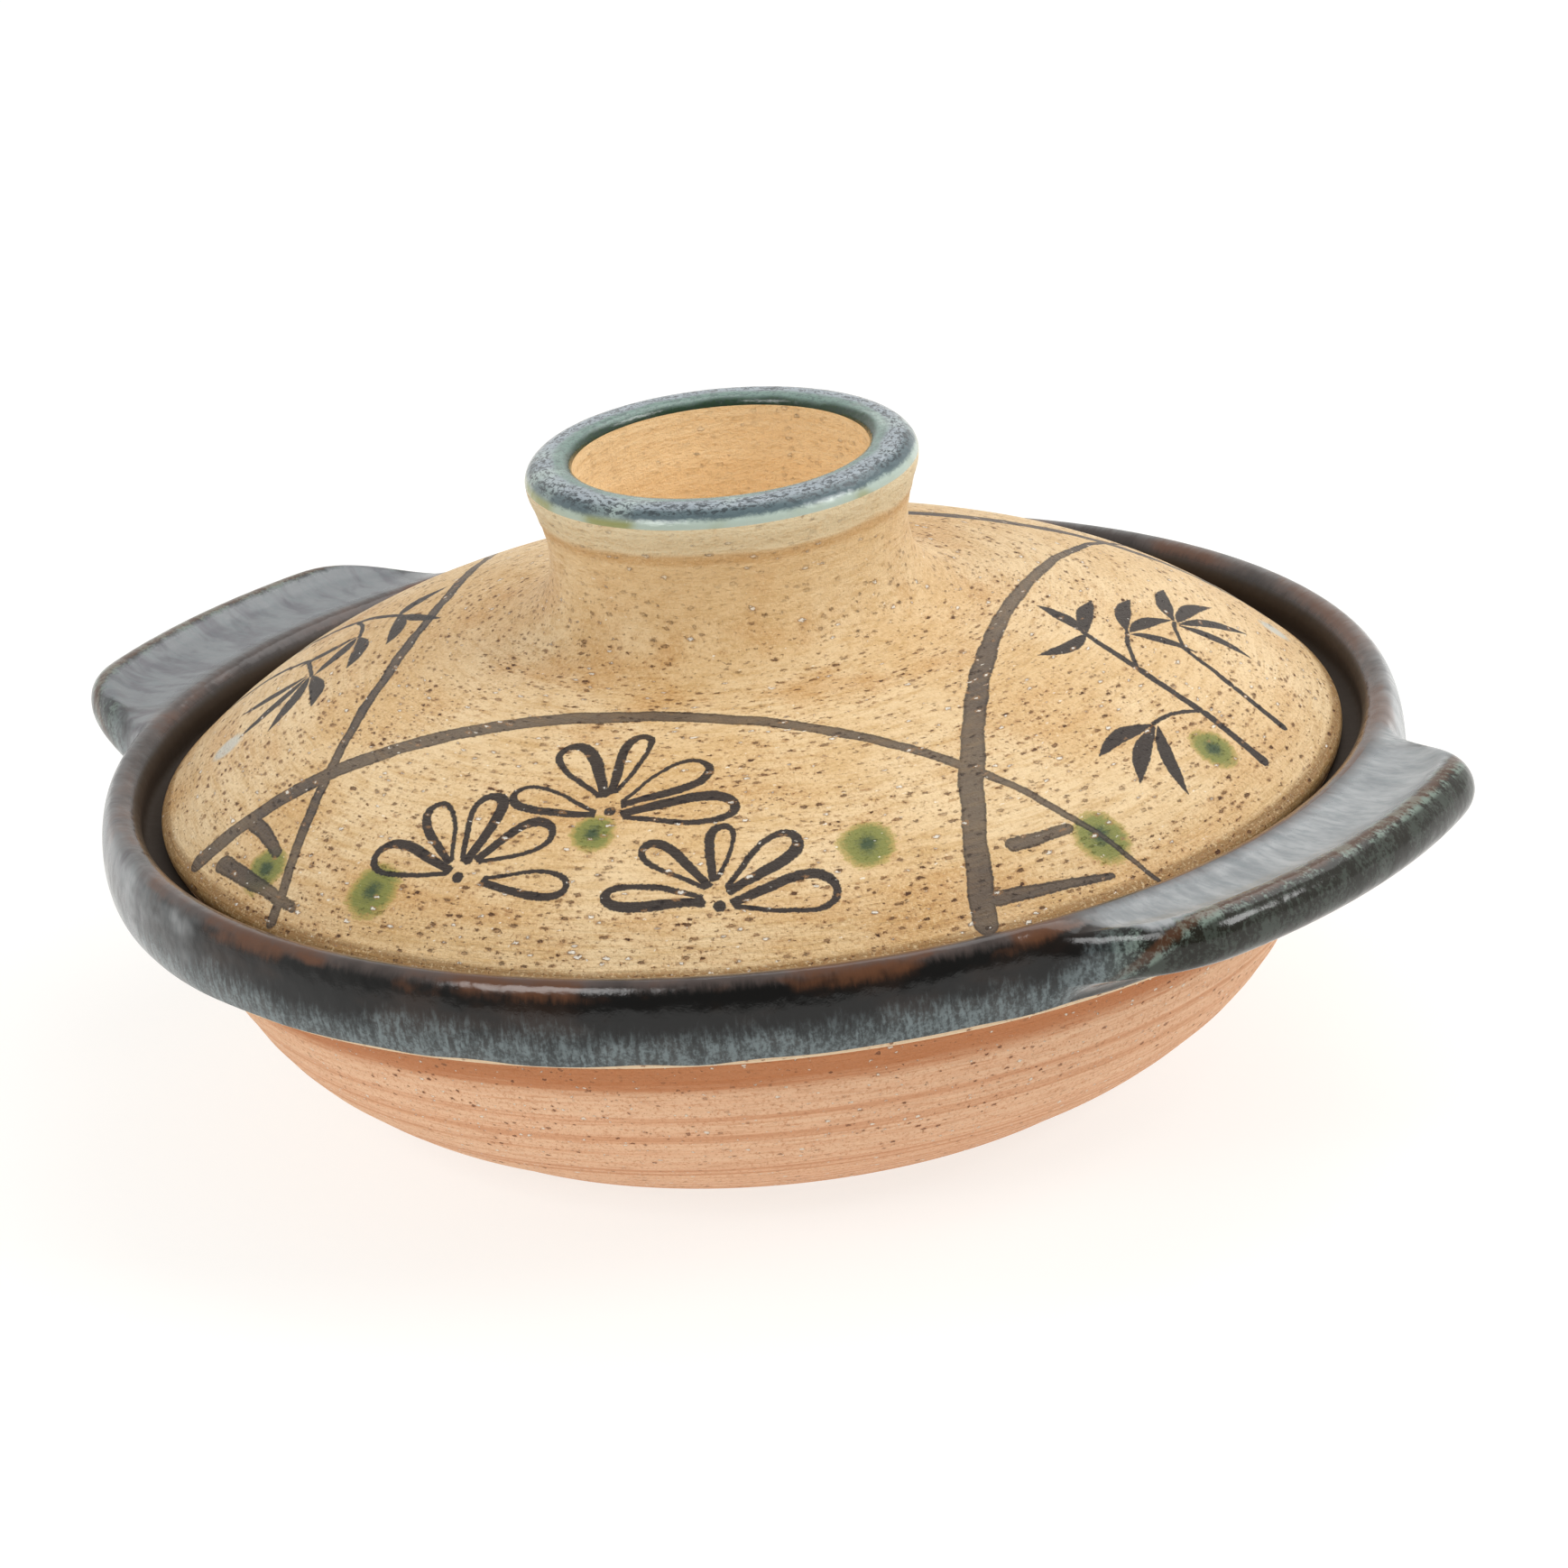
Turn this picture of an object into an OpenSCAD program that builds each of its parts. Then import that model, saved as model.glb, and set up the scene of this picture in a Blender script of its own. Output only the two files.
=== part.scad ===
// Donabe: a wide, low stoneware cooking pot with two rim lugs and a domed lid
// with a ring knob. The pot stands on its foot at the origin, +Z up, lugs on X.
// Sizes are millimetres.

/* [Rim] */
// Outside diameter of the rim at its widest
rim_d = 220.8; // [180:0.2:320]
// Width of the rim from the lid's recess to its widest
rim_w = 7; // [5:0.1:12]
// Height of the rim's crest above the table
rim_z = 58; // [45:0.1:90]
// Radius of the rim's inner shoulder
rim_shoulder = 4; // [2.5:0.1:5]
// Height of the crest above the widest line of the rim
rim_belly = 8.9; // [5:0.1:12]
// Depth of the rim's roll below its widest line
rim_tuck = 6.8; // [4:0.1:9]
// Angle below the widest line at which the glaze ends
glaze_turn = 45; // [35:1:70]

/* [Bowl] */
// Thickness of the bowl's wall
wall = 7; // [4:0.1:10]
// How far the rim stands out from the neck of the bowl
rim_reach = 11.7; // [8:0.1:16]
// Height of the rim's lower lip above the neck
neck_drop = 1.5; // [0.8:0.1:4]
// Outside diameter of the foot
foot_d = 114; // [80:1:160]
// Width of the land that the pot stands on
foot_land = 7; // [4:0.5:12]
// Height of the hollow inside the foot
foot_rise = 1.2; // [0.6:0.1:3]
// Thickness of the floor inside the foot
floor_t = 5; // [3.5:0.1:9]

/* [Lid seat] */
// Depth of the ledge below the rim's crest
ledge_drop = 7.4; // [6:0.1:12]
// Radius of the corner between the ledge and the recess wall
ledge_round = 0.7; // [0.3:0.1:1.5]
// Width of the gap between the lid's edge and the rim
lid_gap = 3.4; // [1:0.1:8]
// Width of the lid's flat seat, with its rounded edge
seat_w = 6.5; // [4:0.1:10]
// How far the ledge runs in past the lid's seat
ledge_past = 0.6; // [0.3:0.1:2]

/* [Lid] */
// Height of the lid's edge line above its seat
edge_h = 3.4; // [2.5:0.1:6]
// Radius of the lid's rounded edge
edge_round = 2; // [1:0.1:2.4]
// Rise of the dome above the edge line, at the centre
dome_rise = 28; // [18:0.1:45]
// Thickness of the dome at its centre
lid_wall = 5.5; // [4:0.1:8]
// Roundness of the dome, where 2 is a parabola and more is fuller
dome_power = 3.47; // [2:0.01:5]
// Diameter of the steam hole
steam_d = 8; // [6:0.5:12]
// Distance of the steam hole from the lid's axis
steam_r = 66; // [54:1:76]
// Direction of the steam hole, round from the right lug
steam_turn = 130; // [0:0.5:360]

/* [Knob] */
// Outside diameter of the knob's rolled rim
knob_d = 66; // [48:0.5:90]
// Height of the knob's rim above the dome
knob_h = 28.6; // [20:0.1:45]
// How far the knob's neck is drawn in under its rim
neck_in = 2.8; // [0:0.1:8]
// Height of the narrowest place above the dome
neck_z = 13.2; // [10:0.1:20]
// Width of the knob's rolled rim
knob_rim_w = 8.1; // [5:0.1:12]
// Half the height of the knob's rolled rim
knob_roll = 3.6; // [2.4:0.1:6]
// Squareness of the rim's inner corner, where 2 is round
mouth_square = 4; // [2:0.5:6]
// How far the knob's flared foot reaches out past its rim
flare_reach = 10.5; // [5:0.5:18]
// Thickness of the knob's flared foot at its edge
flare_edge = 0.3; // [0.3:0.1:1.5]
// Angle above the knob's widest line at which its glaze ends outside
knob_glaze_out = 5; // [0:1:30]
// Angle above the knob's narrowest line at which its glaze ends inside
knob_glaze_in = 16; // [0:1:40]

/* [Lugs] */
// How far a lug stands out past the rim
lug_reach = 18; // [8:0.2:40]
// Length of the right lug's outer edge before it rounds off
right_flat = 62; // [30:1:80]
// Length of the left lug's outer edge before it rounds off
left_flat = 49; // [30:1:80]
// Length along the rim in which a lug dies away
lug_fade = 26.5; // [20:0.5:50]
// Fullness of a lug's corners, where 1 is a plain wave
lug_fullness = 1.25; // [1:0.05:2]
// Thickness of a lug's outer edge
lug_edge = 9.1; // [6:0.1:12]
// Width of the roll along a lug's outer edge
lug_roll = 4.2; // [3:0.1:7]
// Rise of a lug's outer edge above the rim's crest
lug_lift = 1.7; // [0:0.1:6]
// Depth of the dish in a lug's top, below the rim's crest
lug_dish = 0.8; // [0:0.1:2]

/* [Glaze] */
// Thickness of the glaze on the rim and the knob
glaze = 0.7; // [0.4:0.1:1.2]
// Thickness of the glaze inside the bowl
inner_glaze = 0.6; // [0.4:0.1:1.2]

/* [Hidden] */
$fn = 180;

// Clearance between a coat of glaze and the clay under it
coat_gap = 0.02;
// Clearance between a lug and the rim that it is luted to
lug_gap = 0.05;
// Overrun of the steam hole's cut past the dome
overrun = 2;

// Places on the rim
rim_r = rim_d / 2;
recess_r = rim_r - rim_w;
crest_r = recess_r + rim_shoulder;
face_w = rim_r - crest_r;
belly_z = rim_z - rim_belly;
lip_z = belly_z - rim_tuck + glaze + coat_gap;
clay_in = glaze + coat_gap;

// Places on the bowl
foot_r = foot_d / 2;
neck_r = rim_r - rim_reach;
bowl_neck_z = lip_z - neck_drop;
floor_z = foot_rise + floor_t;
ledge_z = rim_z - ledge_drop;

// Places on the lid
lid_r = recess_r - lid_gap;
seat_r = lid_r - seat_w;
ledge_r = seat_r - ledge_past;
lid_z = ledge_z + edge_h;
knob_r = knob_d / 2;
flare_r = knob_r + flare_reach;
knob_z = lid_z + dome(flare_r);

// Places on the knob
mouth_r = knob_r - knob_rim_w;
roll_w = knob_rim_w / 2;
roll_r = mouth_r + roll_w;
roll_z = knob_z + knob_h - knob_roll;

// Places on a lug
lug_r = rim_r + lug_reach;
lug_top = rim_z + lug_lift;
lug_mid = lug_top - lug_edge / 2;
lug_fade_turn = lug_fade / rim_r * 180 / PI;
// Least share of a lug's reach, left at its ends
lug_end_share = 0.02;

// Outline of the bowl's wall from foot to neck, across as shares of the flare
// from foot to neck and up as shares of the neck's height
wall_shares = [[0, 0], [0.17, 0.056], [0.46, 0.22], [0.6, 0.33], [0.72, 0.455],
               [0.82, 0.61], [0.905, 0.77], [1, 1]];
// Floor of the bowl, across as shares of the foot's radius and up as shares of its thickness
floor_shares = [[0, 0], [0.25, 0.01], [0.5, 0.06], [0.78, 0.19]];

// Steps along the curves
wall_steps = 4;
rim_steps = 26;
shoulder_steps = 8;
curve_steps = 12;
dome_steps = 30;
roll_steps = 28;
lug_rings = 40;
lug_top_steps = 7;
lug_roll_steps = 11;
lug_under_steps = 6;

function mix(a, b, t) = a + (b - a) * t;

// Points along a Bezier curve, from a to d with b and c as its handles
function bezier(a, b, c, d, t) =
    a * pow(1 - t, 3) + 3 * b * t * pow(1 - t, 2) + 3 * c * t * t * (1 - t) + d * pow(t, 3);
function bezier_run(a, b, c, d, n) = [for (i = [0 : n]) bezier(a, b, c, d, i / n)];

// Smooth curve through a list of points, n steps between neighbours
function smooth_point(a, b, c, d, t) =
    (2 * b + (c - a) * t + (2 * a - 5 * b + 4 * c - d) * t * t + (3 * b - a - 3 * c + d) * pow(t, 3)) / 2;
function smooth_run(p, n) = let (last = len(p) - 1) [
    for (i = [0 : last - 1]) for (j = [0 : n - 1])
        smooth_point(p[max(i - 1, 0)], p[i], p[i + 1], p[min(i + 2, last)], j / n),
    p[last]
];

// Points moved to the left of the way that an open outline runs
function shifted(p, away) = let (last = len(p) - 1) [
    for (i = [0 : last])
        let (way = p[min(i + 1, last)] - p[max(i - 1, 0)])
        p[i] + away * [-way[1], way[0]] / norm(way)
];
function reversed(p) = [for (i = [len(p) - 1 : -1 : 0]) p[i]];

// Height of the dome above the lid's edge line, at a distance from the axis
function dome(r) = dome_rise * (1 - pow(r / lid_r, dome_power));

// Point on the rim's outline: 180 is the recess wall, 90 the crest, 0 the widest line
function rim_point(turn, depth) = turn > 90
    ? [crest_r + (rim_shoulder - depth) * cos(turn),
       rim_z - rim_shoulder + (rim_shoulder - depth) * sin(turn)]
    : [crest_r + (face_w - depth) * cos(turn),
       belly_z + ((turn > 0 ? rim_belly : rim_tuck) - depth) * sin(turn)];
function rim_run(from, to, depth, n) = [for (i = [0 : n]) rim_point(mix(from, to, i / n), depth)];

// Rim from its lower end over the crest to the recess wall
function rim_outline(low, depth) = concat(
    rim_run(low, 90, depth, rim_steps),
    rim_run(90 + 90 / shoulder_steps, 180, depth, shoulder_steps - 1)
);

// Outline of the bowl's wall, and of its inside
wall_keys = [for (s = wall_shares) [mix(foot_r, neck_r, s[0]), bowl_neck_z * s[1]]];
floor_keys = [for (s = floor_shares) [foot_r * s[0], floor_z + floor_t * s[1]]];
side_keys = [for (i = [1 : len(wall_keys) - 2]) shifted(wall_keys, wall)[i]];
inside = concat(
    smooth_run(concat(floor_keys, side_keys, [[ledge_r, mix(bowl_neck_z, ledge_z, 1 / 2)]]), wall_steps),
    [[ledge_r, ledge_z]]
);

module revolve(outline) {
    rotate_extrude(convexity = 6)
        polygon(outline);
}

// Thrown bowl with its foot, rim and lid ledge
module pot_bowl() {
    foot_in = foot_r - foot_land;
    lip = rim_point(-90, clay_in);
    clay_recess = recess_r + clay_in;
    color("peru")
        revolve(concat(
            [[0, foot_rise], [foot_in - foot_rise, foot_rise], [foot_in, 0]],
            smooth_run(wall_keys, wall_steps),
            bezier_run([neck_r, bowl_neck_z], [neck_r + neck_drop / 3, mix(bowl_neck_z, lip_z, 2 / 3)],
                       [mix(neck_r, lip[0], 1 / 3), lip_z], lip, curve_steps),
            rim_outline(-82, clay_in),
            [for (i = [0 : shoulder_steps])
                [clay_recess - ledge_round, ledge_z + ledge_round]
                + ledge_round * [cos(90 * i / shoulder_steps), -sin(90 * i / shoulder_steps)]],
            reversed(inside)
        ));
}

// Dark coat over the rim, down to the glaze line outside and the ledge inside
module glaze_rim() {
    end_z = ledge_z + ledge_round + coat_gap;
    color("darkslategray")
        revolve(concat(
            rim_outline(-glaze_turn, 0),
            [[recess_r, end_z], [recess_r + glaze, end_z]],
            reversed(rim_outline(-glaze_turn, glaze))
        ));
}

// Coat over the inside of the bowl, from the floor up to the ledge
module glaze_inside() {
    below = shifted(inside, coat_gap);
    above = shifted(inside, coat_gap + inner_glaze);
    last = len(inside) - 2;
    color("dimgray")
        revolve(concat(
            [[0, floor_z + coat_gap]],
            [for (i = [1 : last]) below[i]],
            [for (i = [last : -1 : 1]) above[i]],
            [[0, floor_z + coat_gap + inner_glaze]]
        ));
}

// Half the turn of a lug's outer edge, and the share of a lug's full reach
// that is left at a turn away from its middle
function lug_flat_turn(flat) = asin(flat / 2 / lug_r);
function lug_share(turn, flat) =
    let (past = max(abs(turn) - lug_flat_turn(flat), 0) / lug_fade_turn)
    max((1 + cos(180 * pow(past, lug_fullness))) / 2, lug_end_share);

// Section of a lug at its middle: dished top, rolled edge, hollow underside
function lug_roll_point(turn) = [lug_r - lug_roll + lug_roll * cos(turn), lug_mid + lug_edge / 2 * sin(turn)];
function lug_section() =
    let (seat = rim_point(90, -lug_gap),
         line = rim_point(-glaze_turn, -lug_gap),
         roll_in = lug_roll_point(125),
         roll_out = lug_roll_point(-75),
         reach = roll_in[0] - seat[0])
    concat(
        [for (i = [0 : lug_top_steps - 1])
            bezier(seat, [seat[0] + reach / 3, seat[1] - lug_dish],
                   roll_in - [reach * 0.28, reach * 0.18], roll_in, i / lug_top_steps)],
        [for (i = [0 : lug_roll_steps]) lug_roll_point(mix(125, -75, i / lug_roll_steps))],
        [for (i = [1 : lug_under_steps])
            bezier(roll_out, roll_out - [reach * 0.5, lug_edge * 0.2],
                   [mix(rim_r, lug_r, 0.1), belly_z], line, i / lug_under_steps)]
    );

// The rim's face under a lug, with as many points as the lug's section
function lug_seat() =
    let (n = lug_top_steps + lug_roll_steps + lug_under_steps)
    concat(
        rim_run(90, 52, -lug_gap, lug_top_steps),
        [for (i = [1 : lug_roll_steps]) rim_point(mix(52, -10, i / lug_roll_steps), -lug_gap)],
        [for (i = [1 : lug_under_steps]) rim_point(mix(-10, -glaze_turn, i / lug_under_steps), -lug_gap)]
    );

// Lug swept round the rim, standing out from the rim's own face
module lug(flat) {
    lug_turn = lug_flat_turn(flat) + lug_fade_turn;
    seat = lug_seat();
    full = lug_section();
    last = len(seat) - 1;
    ring_size = 2 * last;
    points = [
        for (i = [0 : lug_rings])
            let (turn = mix(-lug_turn, lug_turn, i / lug_rings),
                 share = lug_share(turn, flat),
                 outline = concat([for (j = [0 : last]) mix(seat[j], full[j], share)],
                                  [for (j = [last - 1 : -1 : 1]) seat[j]]))
            for (p = outline) [p[0] * cos(turn), p[0] * sin(turn), p[1]]
    ];
    sides = [
        for (i = [0 : lug_rings - 1]) for (j = [0 : ring_size - 1])
            let (a = i * ring_size + j, b = i * ring_size + (j + 1) % ring_size)
            each [[a, b, b + ring_size], [a, b + ring_size, a + ring_size]]
    ];
    // The end caps are strips between the outer outline and the seat
    cap = concat(
        [[0, 1, ring_size - 1]],
        [for (j = [1 : last - 2]) each [[j, j + 1, ring_size - j], [j + 1, ring_size - j - 1, ring_size - j]]],
        [[last - 1, last, last + 1]]
    );
    far = lug_rings * ring_size;
    polyhedron(points, concat(
        [for (f = sides) reversed(f)],
        [for (f = cap) reversed(f)],
        [for (f = cap) [for (v = f) v + far]]
    ), convexity = 6);
}

module lug_right() {
    color("slategray")
        lug(right_flat);
}

module lug_left() {
    color("slategray")
        rotate([0, 0, 180])
            lug(left_flat);
}

// Domed lid: rounded edge, flat seat underneath, level place for the knob, steam hole
module lid_dome() {
    join_r = lid_r - edge_round * (1 - cos(45));
    round_z = lid_z + dome(join_r) - edge_round * sin(45);
    inner_rise = dome_rise + edge_h - lid_wall;
    level_r = flare_r;
    color("burlywood")
        difference() {
            revolve(concat(
                [for (i = [0 : dome_steps])
                    let (r = seat_r * i / dome_steps)
                    [r, ledge_z + inner_rise * (1 - pow(r / seat_r, dome_power))]],
                [for (i = [0 : shoulder_steps])
                    [lid_r - edge_round + edge_round * sin(90 * i / shoulder_steps),
                     round_z - (round_z - ledge_z) * cos(90 * i / shoulder_steps)]],
                [for (i = [1 : shoulder_steps / 2])
                    [lid_r - edge_round, round_z]
                    + edge_round * [cos(90 * i / shoulder_steps), sin(90 * i / shoulder_steps)]],
                [for (i = [1 : dome_steps])
                    let (r = mix(join_r, level_r, i / dome_steps))
                    [r, lid_z + dome(r)]],
                [[0, knob_z]]
            ));
            rotate([0, 0, steam_turn])
                translate([steam_r, 0, ledge_z])
                    cylinder(d = steam_d, h = edge_h + dome_rise + overrun);
        }
}

// Ring knob with a flared foot, narrow neck and rolled rim
module lid_knob() {
    foot_in = mouth_r + flare_edge;
    waist = [knob_r - neck_in, knob_z + neck_z];
    coat_end = coat_gap / roll_w * 180 / PI;
    low = knob_roll_point(knob_glaze_out - coat_end, 0);
    high = knob_roll_point(180 - knob_glaze_in + coat_end, 0);
    rise = low[1] - waist[1];
    color("tan")
        revolve(concat(
            [[foot_in, knob_z], [flare_r, knob_z]],
            bezier_run([flare_r, knob_z + flare_edge], [mix(flare_r, waist[0], 3 / 4), knob_z + flare_edge],
                       [waist[0], knob_z + neck_z / 3], waist, curve_steps),
            [for (i = [1 : curve_steps])
                bezier(waist, waist + [0, rise * 2 / 5], low - [0, rise / 5], low, i / curve_steps)],
            knob_roll_run(knob_glaze_out - coat_end, 180 - knob_glaze_in + coat_end, clay_in),
            bezier_run(high, high - [0, knob_roll], [mouth_r, knob_z + neck_z],
                       [foot_in, knob_z + flare_edge], curve_steps)
        ));
}

// Point on the knob's rolled rim: 0 is outside, 90 the crest, 180 inside
function knob_roll_point(turn, depth) =
    let (square = turn > 90 ? 2 / mouth_square : 1)
    [roll_r + (roll_w - depth) * sign(cos(turn)) * pow(abs(cos(turn)), square),
     roll_z + (knob_roll - depth) * pow(sin(turn), square)];
function knob_roll_run(from, to, depth) = [
    for (i = [0 : roll_steps])
        knob_roll_point(mix(from, to, i / roll_steps), depth)
];

// Green coat let in round the knob's rolled rim, flush with the clay at both ends
module glaze_knob() {
    color("cadetblue")
        revolve(concat(
            knob_roll_run(knob_glaze_out, 180 - knob_glaze_in, 0),
            reversed(knob_roll_run(knob_glaze_out, 180 - knob_glaze_in, glaze))
        ));
}

pot_bowl();
glaze_rim();
glaze_inside();
lug_left();
lug_right();
lid_dome();
lid_knob();
glaze_knob();
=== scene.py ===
from math import asin, atan2, cos, degrees, dist, hypot, pi, radians, sin

import bmesh
import bpy
from mathutils import Matrix, Vector, noise


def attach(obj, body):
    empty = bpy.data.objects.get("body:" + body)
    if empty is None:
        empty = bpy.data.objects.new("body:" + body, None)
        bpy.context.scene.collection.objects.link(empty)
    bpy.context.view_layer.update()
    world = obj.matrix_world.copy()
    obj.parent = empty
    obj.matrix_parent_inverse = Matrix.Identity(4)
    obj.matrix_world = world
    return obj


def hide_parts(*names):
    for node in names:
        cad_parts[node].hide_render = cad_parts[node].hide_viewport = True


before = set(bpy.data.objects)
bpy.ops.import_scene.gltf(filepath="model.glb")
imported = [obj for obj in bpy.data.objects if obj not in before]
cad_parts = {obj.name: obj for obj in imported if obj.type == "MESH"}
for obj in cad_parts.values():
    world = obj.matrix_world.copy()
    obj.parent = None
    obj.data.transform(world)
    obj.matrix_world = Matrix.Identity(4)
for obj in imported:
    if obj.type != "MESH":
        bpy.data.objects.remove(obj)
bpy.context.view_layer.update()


# camera
shot = {
    "lens": 176.5,  # mm, on a 36 mm sensor
    "sensor": 36.0,
    "near": 0.05,
    "far": 50.0,
    "turn": 40.1,  # degrees round the pot
    "dip": 21.15,  # degrees above the table
    "roll": -5.583,
    "distance": 1.3,
    "aside": 0.005717,
    "below": 0.005496,
    "aimHeight": 0.054,
}


def makeCamera():
    data = bpy.data.cameras.new("shotCamera")
    data.lens = shot["lens"]
    data.sensor_width = shot["sensor"]
    data.clip_start = shot["near"]
    data.clip_end = shot["far"]
    camera = bpy.data.objects.new("shotCamera", data)
    bpy.context.scene.collection.objects.link(camera)
    aim = (Matrix.Rotation(radians(shot["turn"]), 4, "Z")
           @ Matrix.Rotation(radians(90 - shot["dip"]), 4, "X")
           @ Matrix.Rotation(radians(shot["roll"]), 4, "Z"))
    step = aim @ Vector((shot["aside"], -shot["below"], shot["distance"]))
    camera.matrix_world = Matrix.Translation(Vector((0, 0, shot["aimHeight"])) + step) @ aim
    bpy.context.scene.camera = camera


makeCamera()
print("camera is set")


# small helpers for nodes
def tone(red, green, blue):  # a colour as a paint chart gives it, 0 to 255
    lit = [c / 255 for c in (red, green, blue)]
    return (*[c / 12.92 if c < 0.04045 else ((c + 0.055) / 1.055) ** 2.4 for c in lit], 1.0)


def plug(tree, socket, value):
    if isinstance(value, bpy.types.NodeSocket):
        tree.links.new(value, socket)
    else:
        socket.default_value = value


def put(tree, kind, wires=None, **settings):
    node = tree.nodes.new("ShaderNode" + kind)
    for name, value in settings.items():
        setattr(node, name, value)
    for key, value in (wires or {}).items():
        plug(tree, node.inputs[key], value)
    return node


def calc(tree, operation, *values, clamp=False):
    return put(tree, "Math", dict(enumerate(values)), operation=operation, use_clamp=clamp).outputs[0]


def times(tree, *values):
    product = values[0]
    for value in values[1:]:
        product = calc(tree, "MULTIPLY", product, value)
    return product


def timesPlus(tree, value, factor, more):
    return calc(tree, "MULTIPLY_ADD", value, factor, more)


def summed(tree, *parts):  # each part is a pattern and how much of it there is
    total = times(tree, *parts[0])
    for pattern, amount in parts[1:]:
        total = timesPlus(tree, pattern, amount, total)
    return total


def minus(tree, value, less):
    return calc(tree, "SUBTRACT", value, less)


def wobble(tree, value, pattern, amount):  # moves a value by a pattern that runs from 0 to 1
    return timesPlus(tree, minus(tree, pattern, 0.5), amount, value)


def vec(tree, operation, *values):
    node = put(tree, "VectorMath", dict(enumerate(values)), operation=operation)
    return node.outputs["Value" if operation in ("LENGTH", "DISTANCE", "DOT_PRODUCT") else "Vector"]


def scaled(tree, vector, amount):
    return put(tree, "VectorMath", {0: vector, "Scale": amount}, operation="SCALE").outputs["Vector"]


def jostled(tree, place, noisy, amount):  # moves a place by a noise's colour
    shift = vec(tree, "SUBTRACT", noisy, (0.5, 0.5, 0.5))
    return vec(tree, "ADD", place, vec(tree, "MULTIPLY", shift, amount))


def fade(tree, value, low, high, start=0.0, end=1.0):
    wires = {"Value": value, "From Min": low, "From Max": high, "To Min": start, "To Max": end}
    return put(tree, "MapRange", wires, interpolation_type="SMOOTHSTEP").outputs["Result"]


def zone(tree, value, marks):  # rises between the first two marks, and falls between the last two
    return times(tree, fade(tree, value, marks[0], marks[1]), fade(tree, value, marks[3], marks[2]))


def cloud(tree, place, scale, detail=2.0, rough=0.5, bend=0.0, stretch=None):
    if stretch:
        place = vec(tree, "MULTIPLY", place, stretch)
    wires = {"Vector": place, "Scale": scale, "Detail": detail, "Roughness": rough, "Distortion": bend}
    return put(tree, "TexNoise", wires).outputs["Fac"]


def tint(tree, share, under, over):
    node = put(tree, "Mix", data_type="RGBA", blend_type="MIX", clamp_factor=True)
    for i, value in ((0, share), (6, under), (7, over)):
        plug(tree, node.inputs[i], value)
    return node.outputs[2]


def layered(tree, paint, base, *layers):
    # each layer is its colour or its paint's name, then its share, and how that fades in where it does
    colour = paint[base]
    for over, share, *marks in layers:
        share = fade(tree, share, *marks) if marks else share
        colour = tint(tree, share, colour, paint[over] if isinstance(over, str) else over)
    return colour


def startGroup(name, **takes):
    group = bpy.data.node_groups.new(name, "ShaderNodeTree")
    for label, value in takes.items():
        kind = "NodeSocketVector" if isinstance(value, tuple) else "NodeSocketFloat"
        group.interface.new_socket(label, in_out="INPUT", socket_type=kind).default_value = value
    return group, group.nodes.new("NodeGroupInput").outputs


def finishGroup(group, **gives):
    for label, socket in gives.items():
        kind = "NodeSocketVector" if socket.type == "VECTOR" else "NodeSocketFloat"
        group.interface.new_socket(label, in_out="OUTPUT", socket_type=kind)
    out = group.nodes.new("NodeGroupOutput")
    for label, socket in gives.items():
        plug(group, out.inputs[label], socket)
    return group


def use(tree, group, wires):
    node = tree.nodes.new("ShaderNodeGroup")
    node.node_tree = group
    for key, value in wires.items():
        plug(tree, node.inputs[key], value)
    return node.outputs


# floor and light
studio = {
    "floorSize": 12.0,
    "floorTone": (150, 150, 150),
    "floorGlow": 0.72,
    "roomTone": (255, 254, 251),
    "roomLight": 0.8,
    "frontLight": 0.3,  # share of the room's light that comes from behind the camera
    # power, size, and place as the camera sees it: to its right, away from it, and up
    "topLight": (3.4, (0.8, 0.8), (0.35, 0.35, 0.95)),
    "keyLight": (6.0, (0.62, 0.434), (-0.75, -0.85, 0.85)),
    "fillLight": (7.5, (0.62, 0.434), (1.06, -0.4, 0.85)),
    "aimHeight": 0.05,
}


def softLight(name, power, size, place):
    data = bpy.data.lights.new(name, "AREA")
    data.shape = "RECTANGLE"
    data.energy = power
    data.size, data.size_y = size
    lamp = bpy.data.objects.new(name, data)
    bpy.context.scene.collection.objects.link(lamp)
    lamp.location = Matrix.Rotation(radians(shot["turn"]), 3, "Z") @ Vector(place)
    aim = Vector((0, 0, studio["aimHeight"])) - lamp.location
    lamp.rotation_euler = aim.to_track_quat("-Z", "Y").to_euler()


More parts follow.
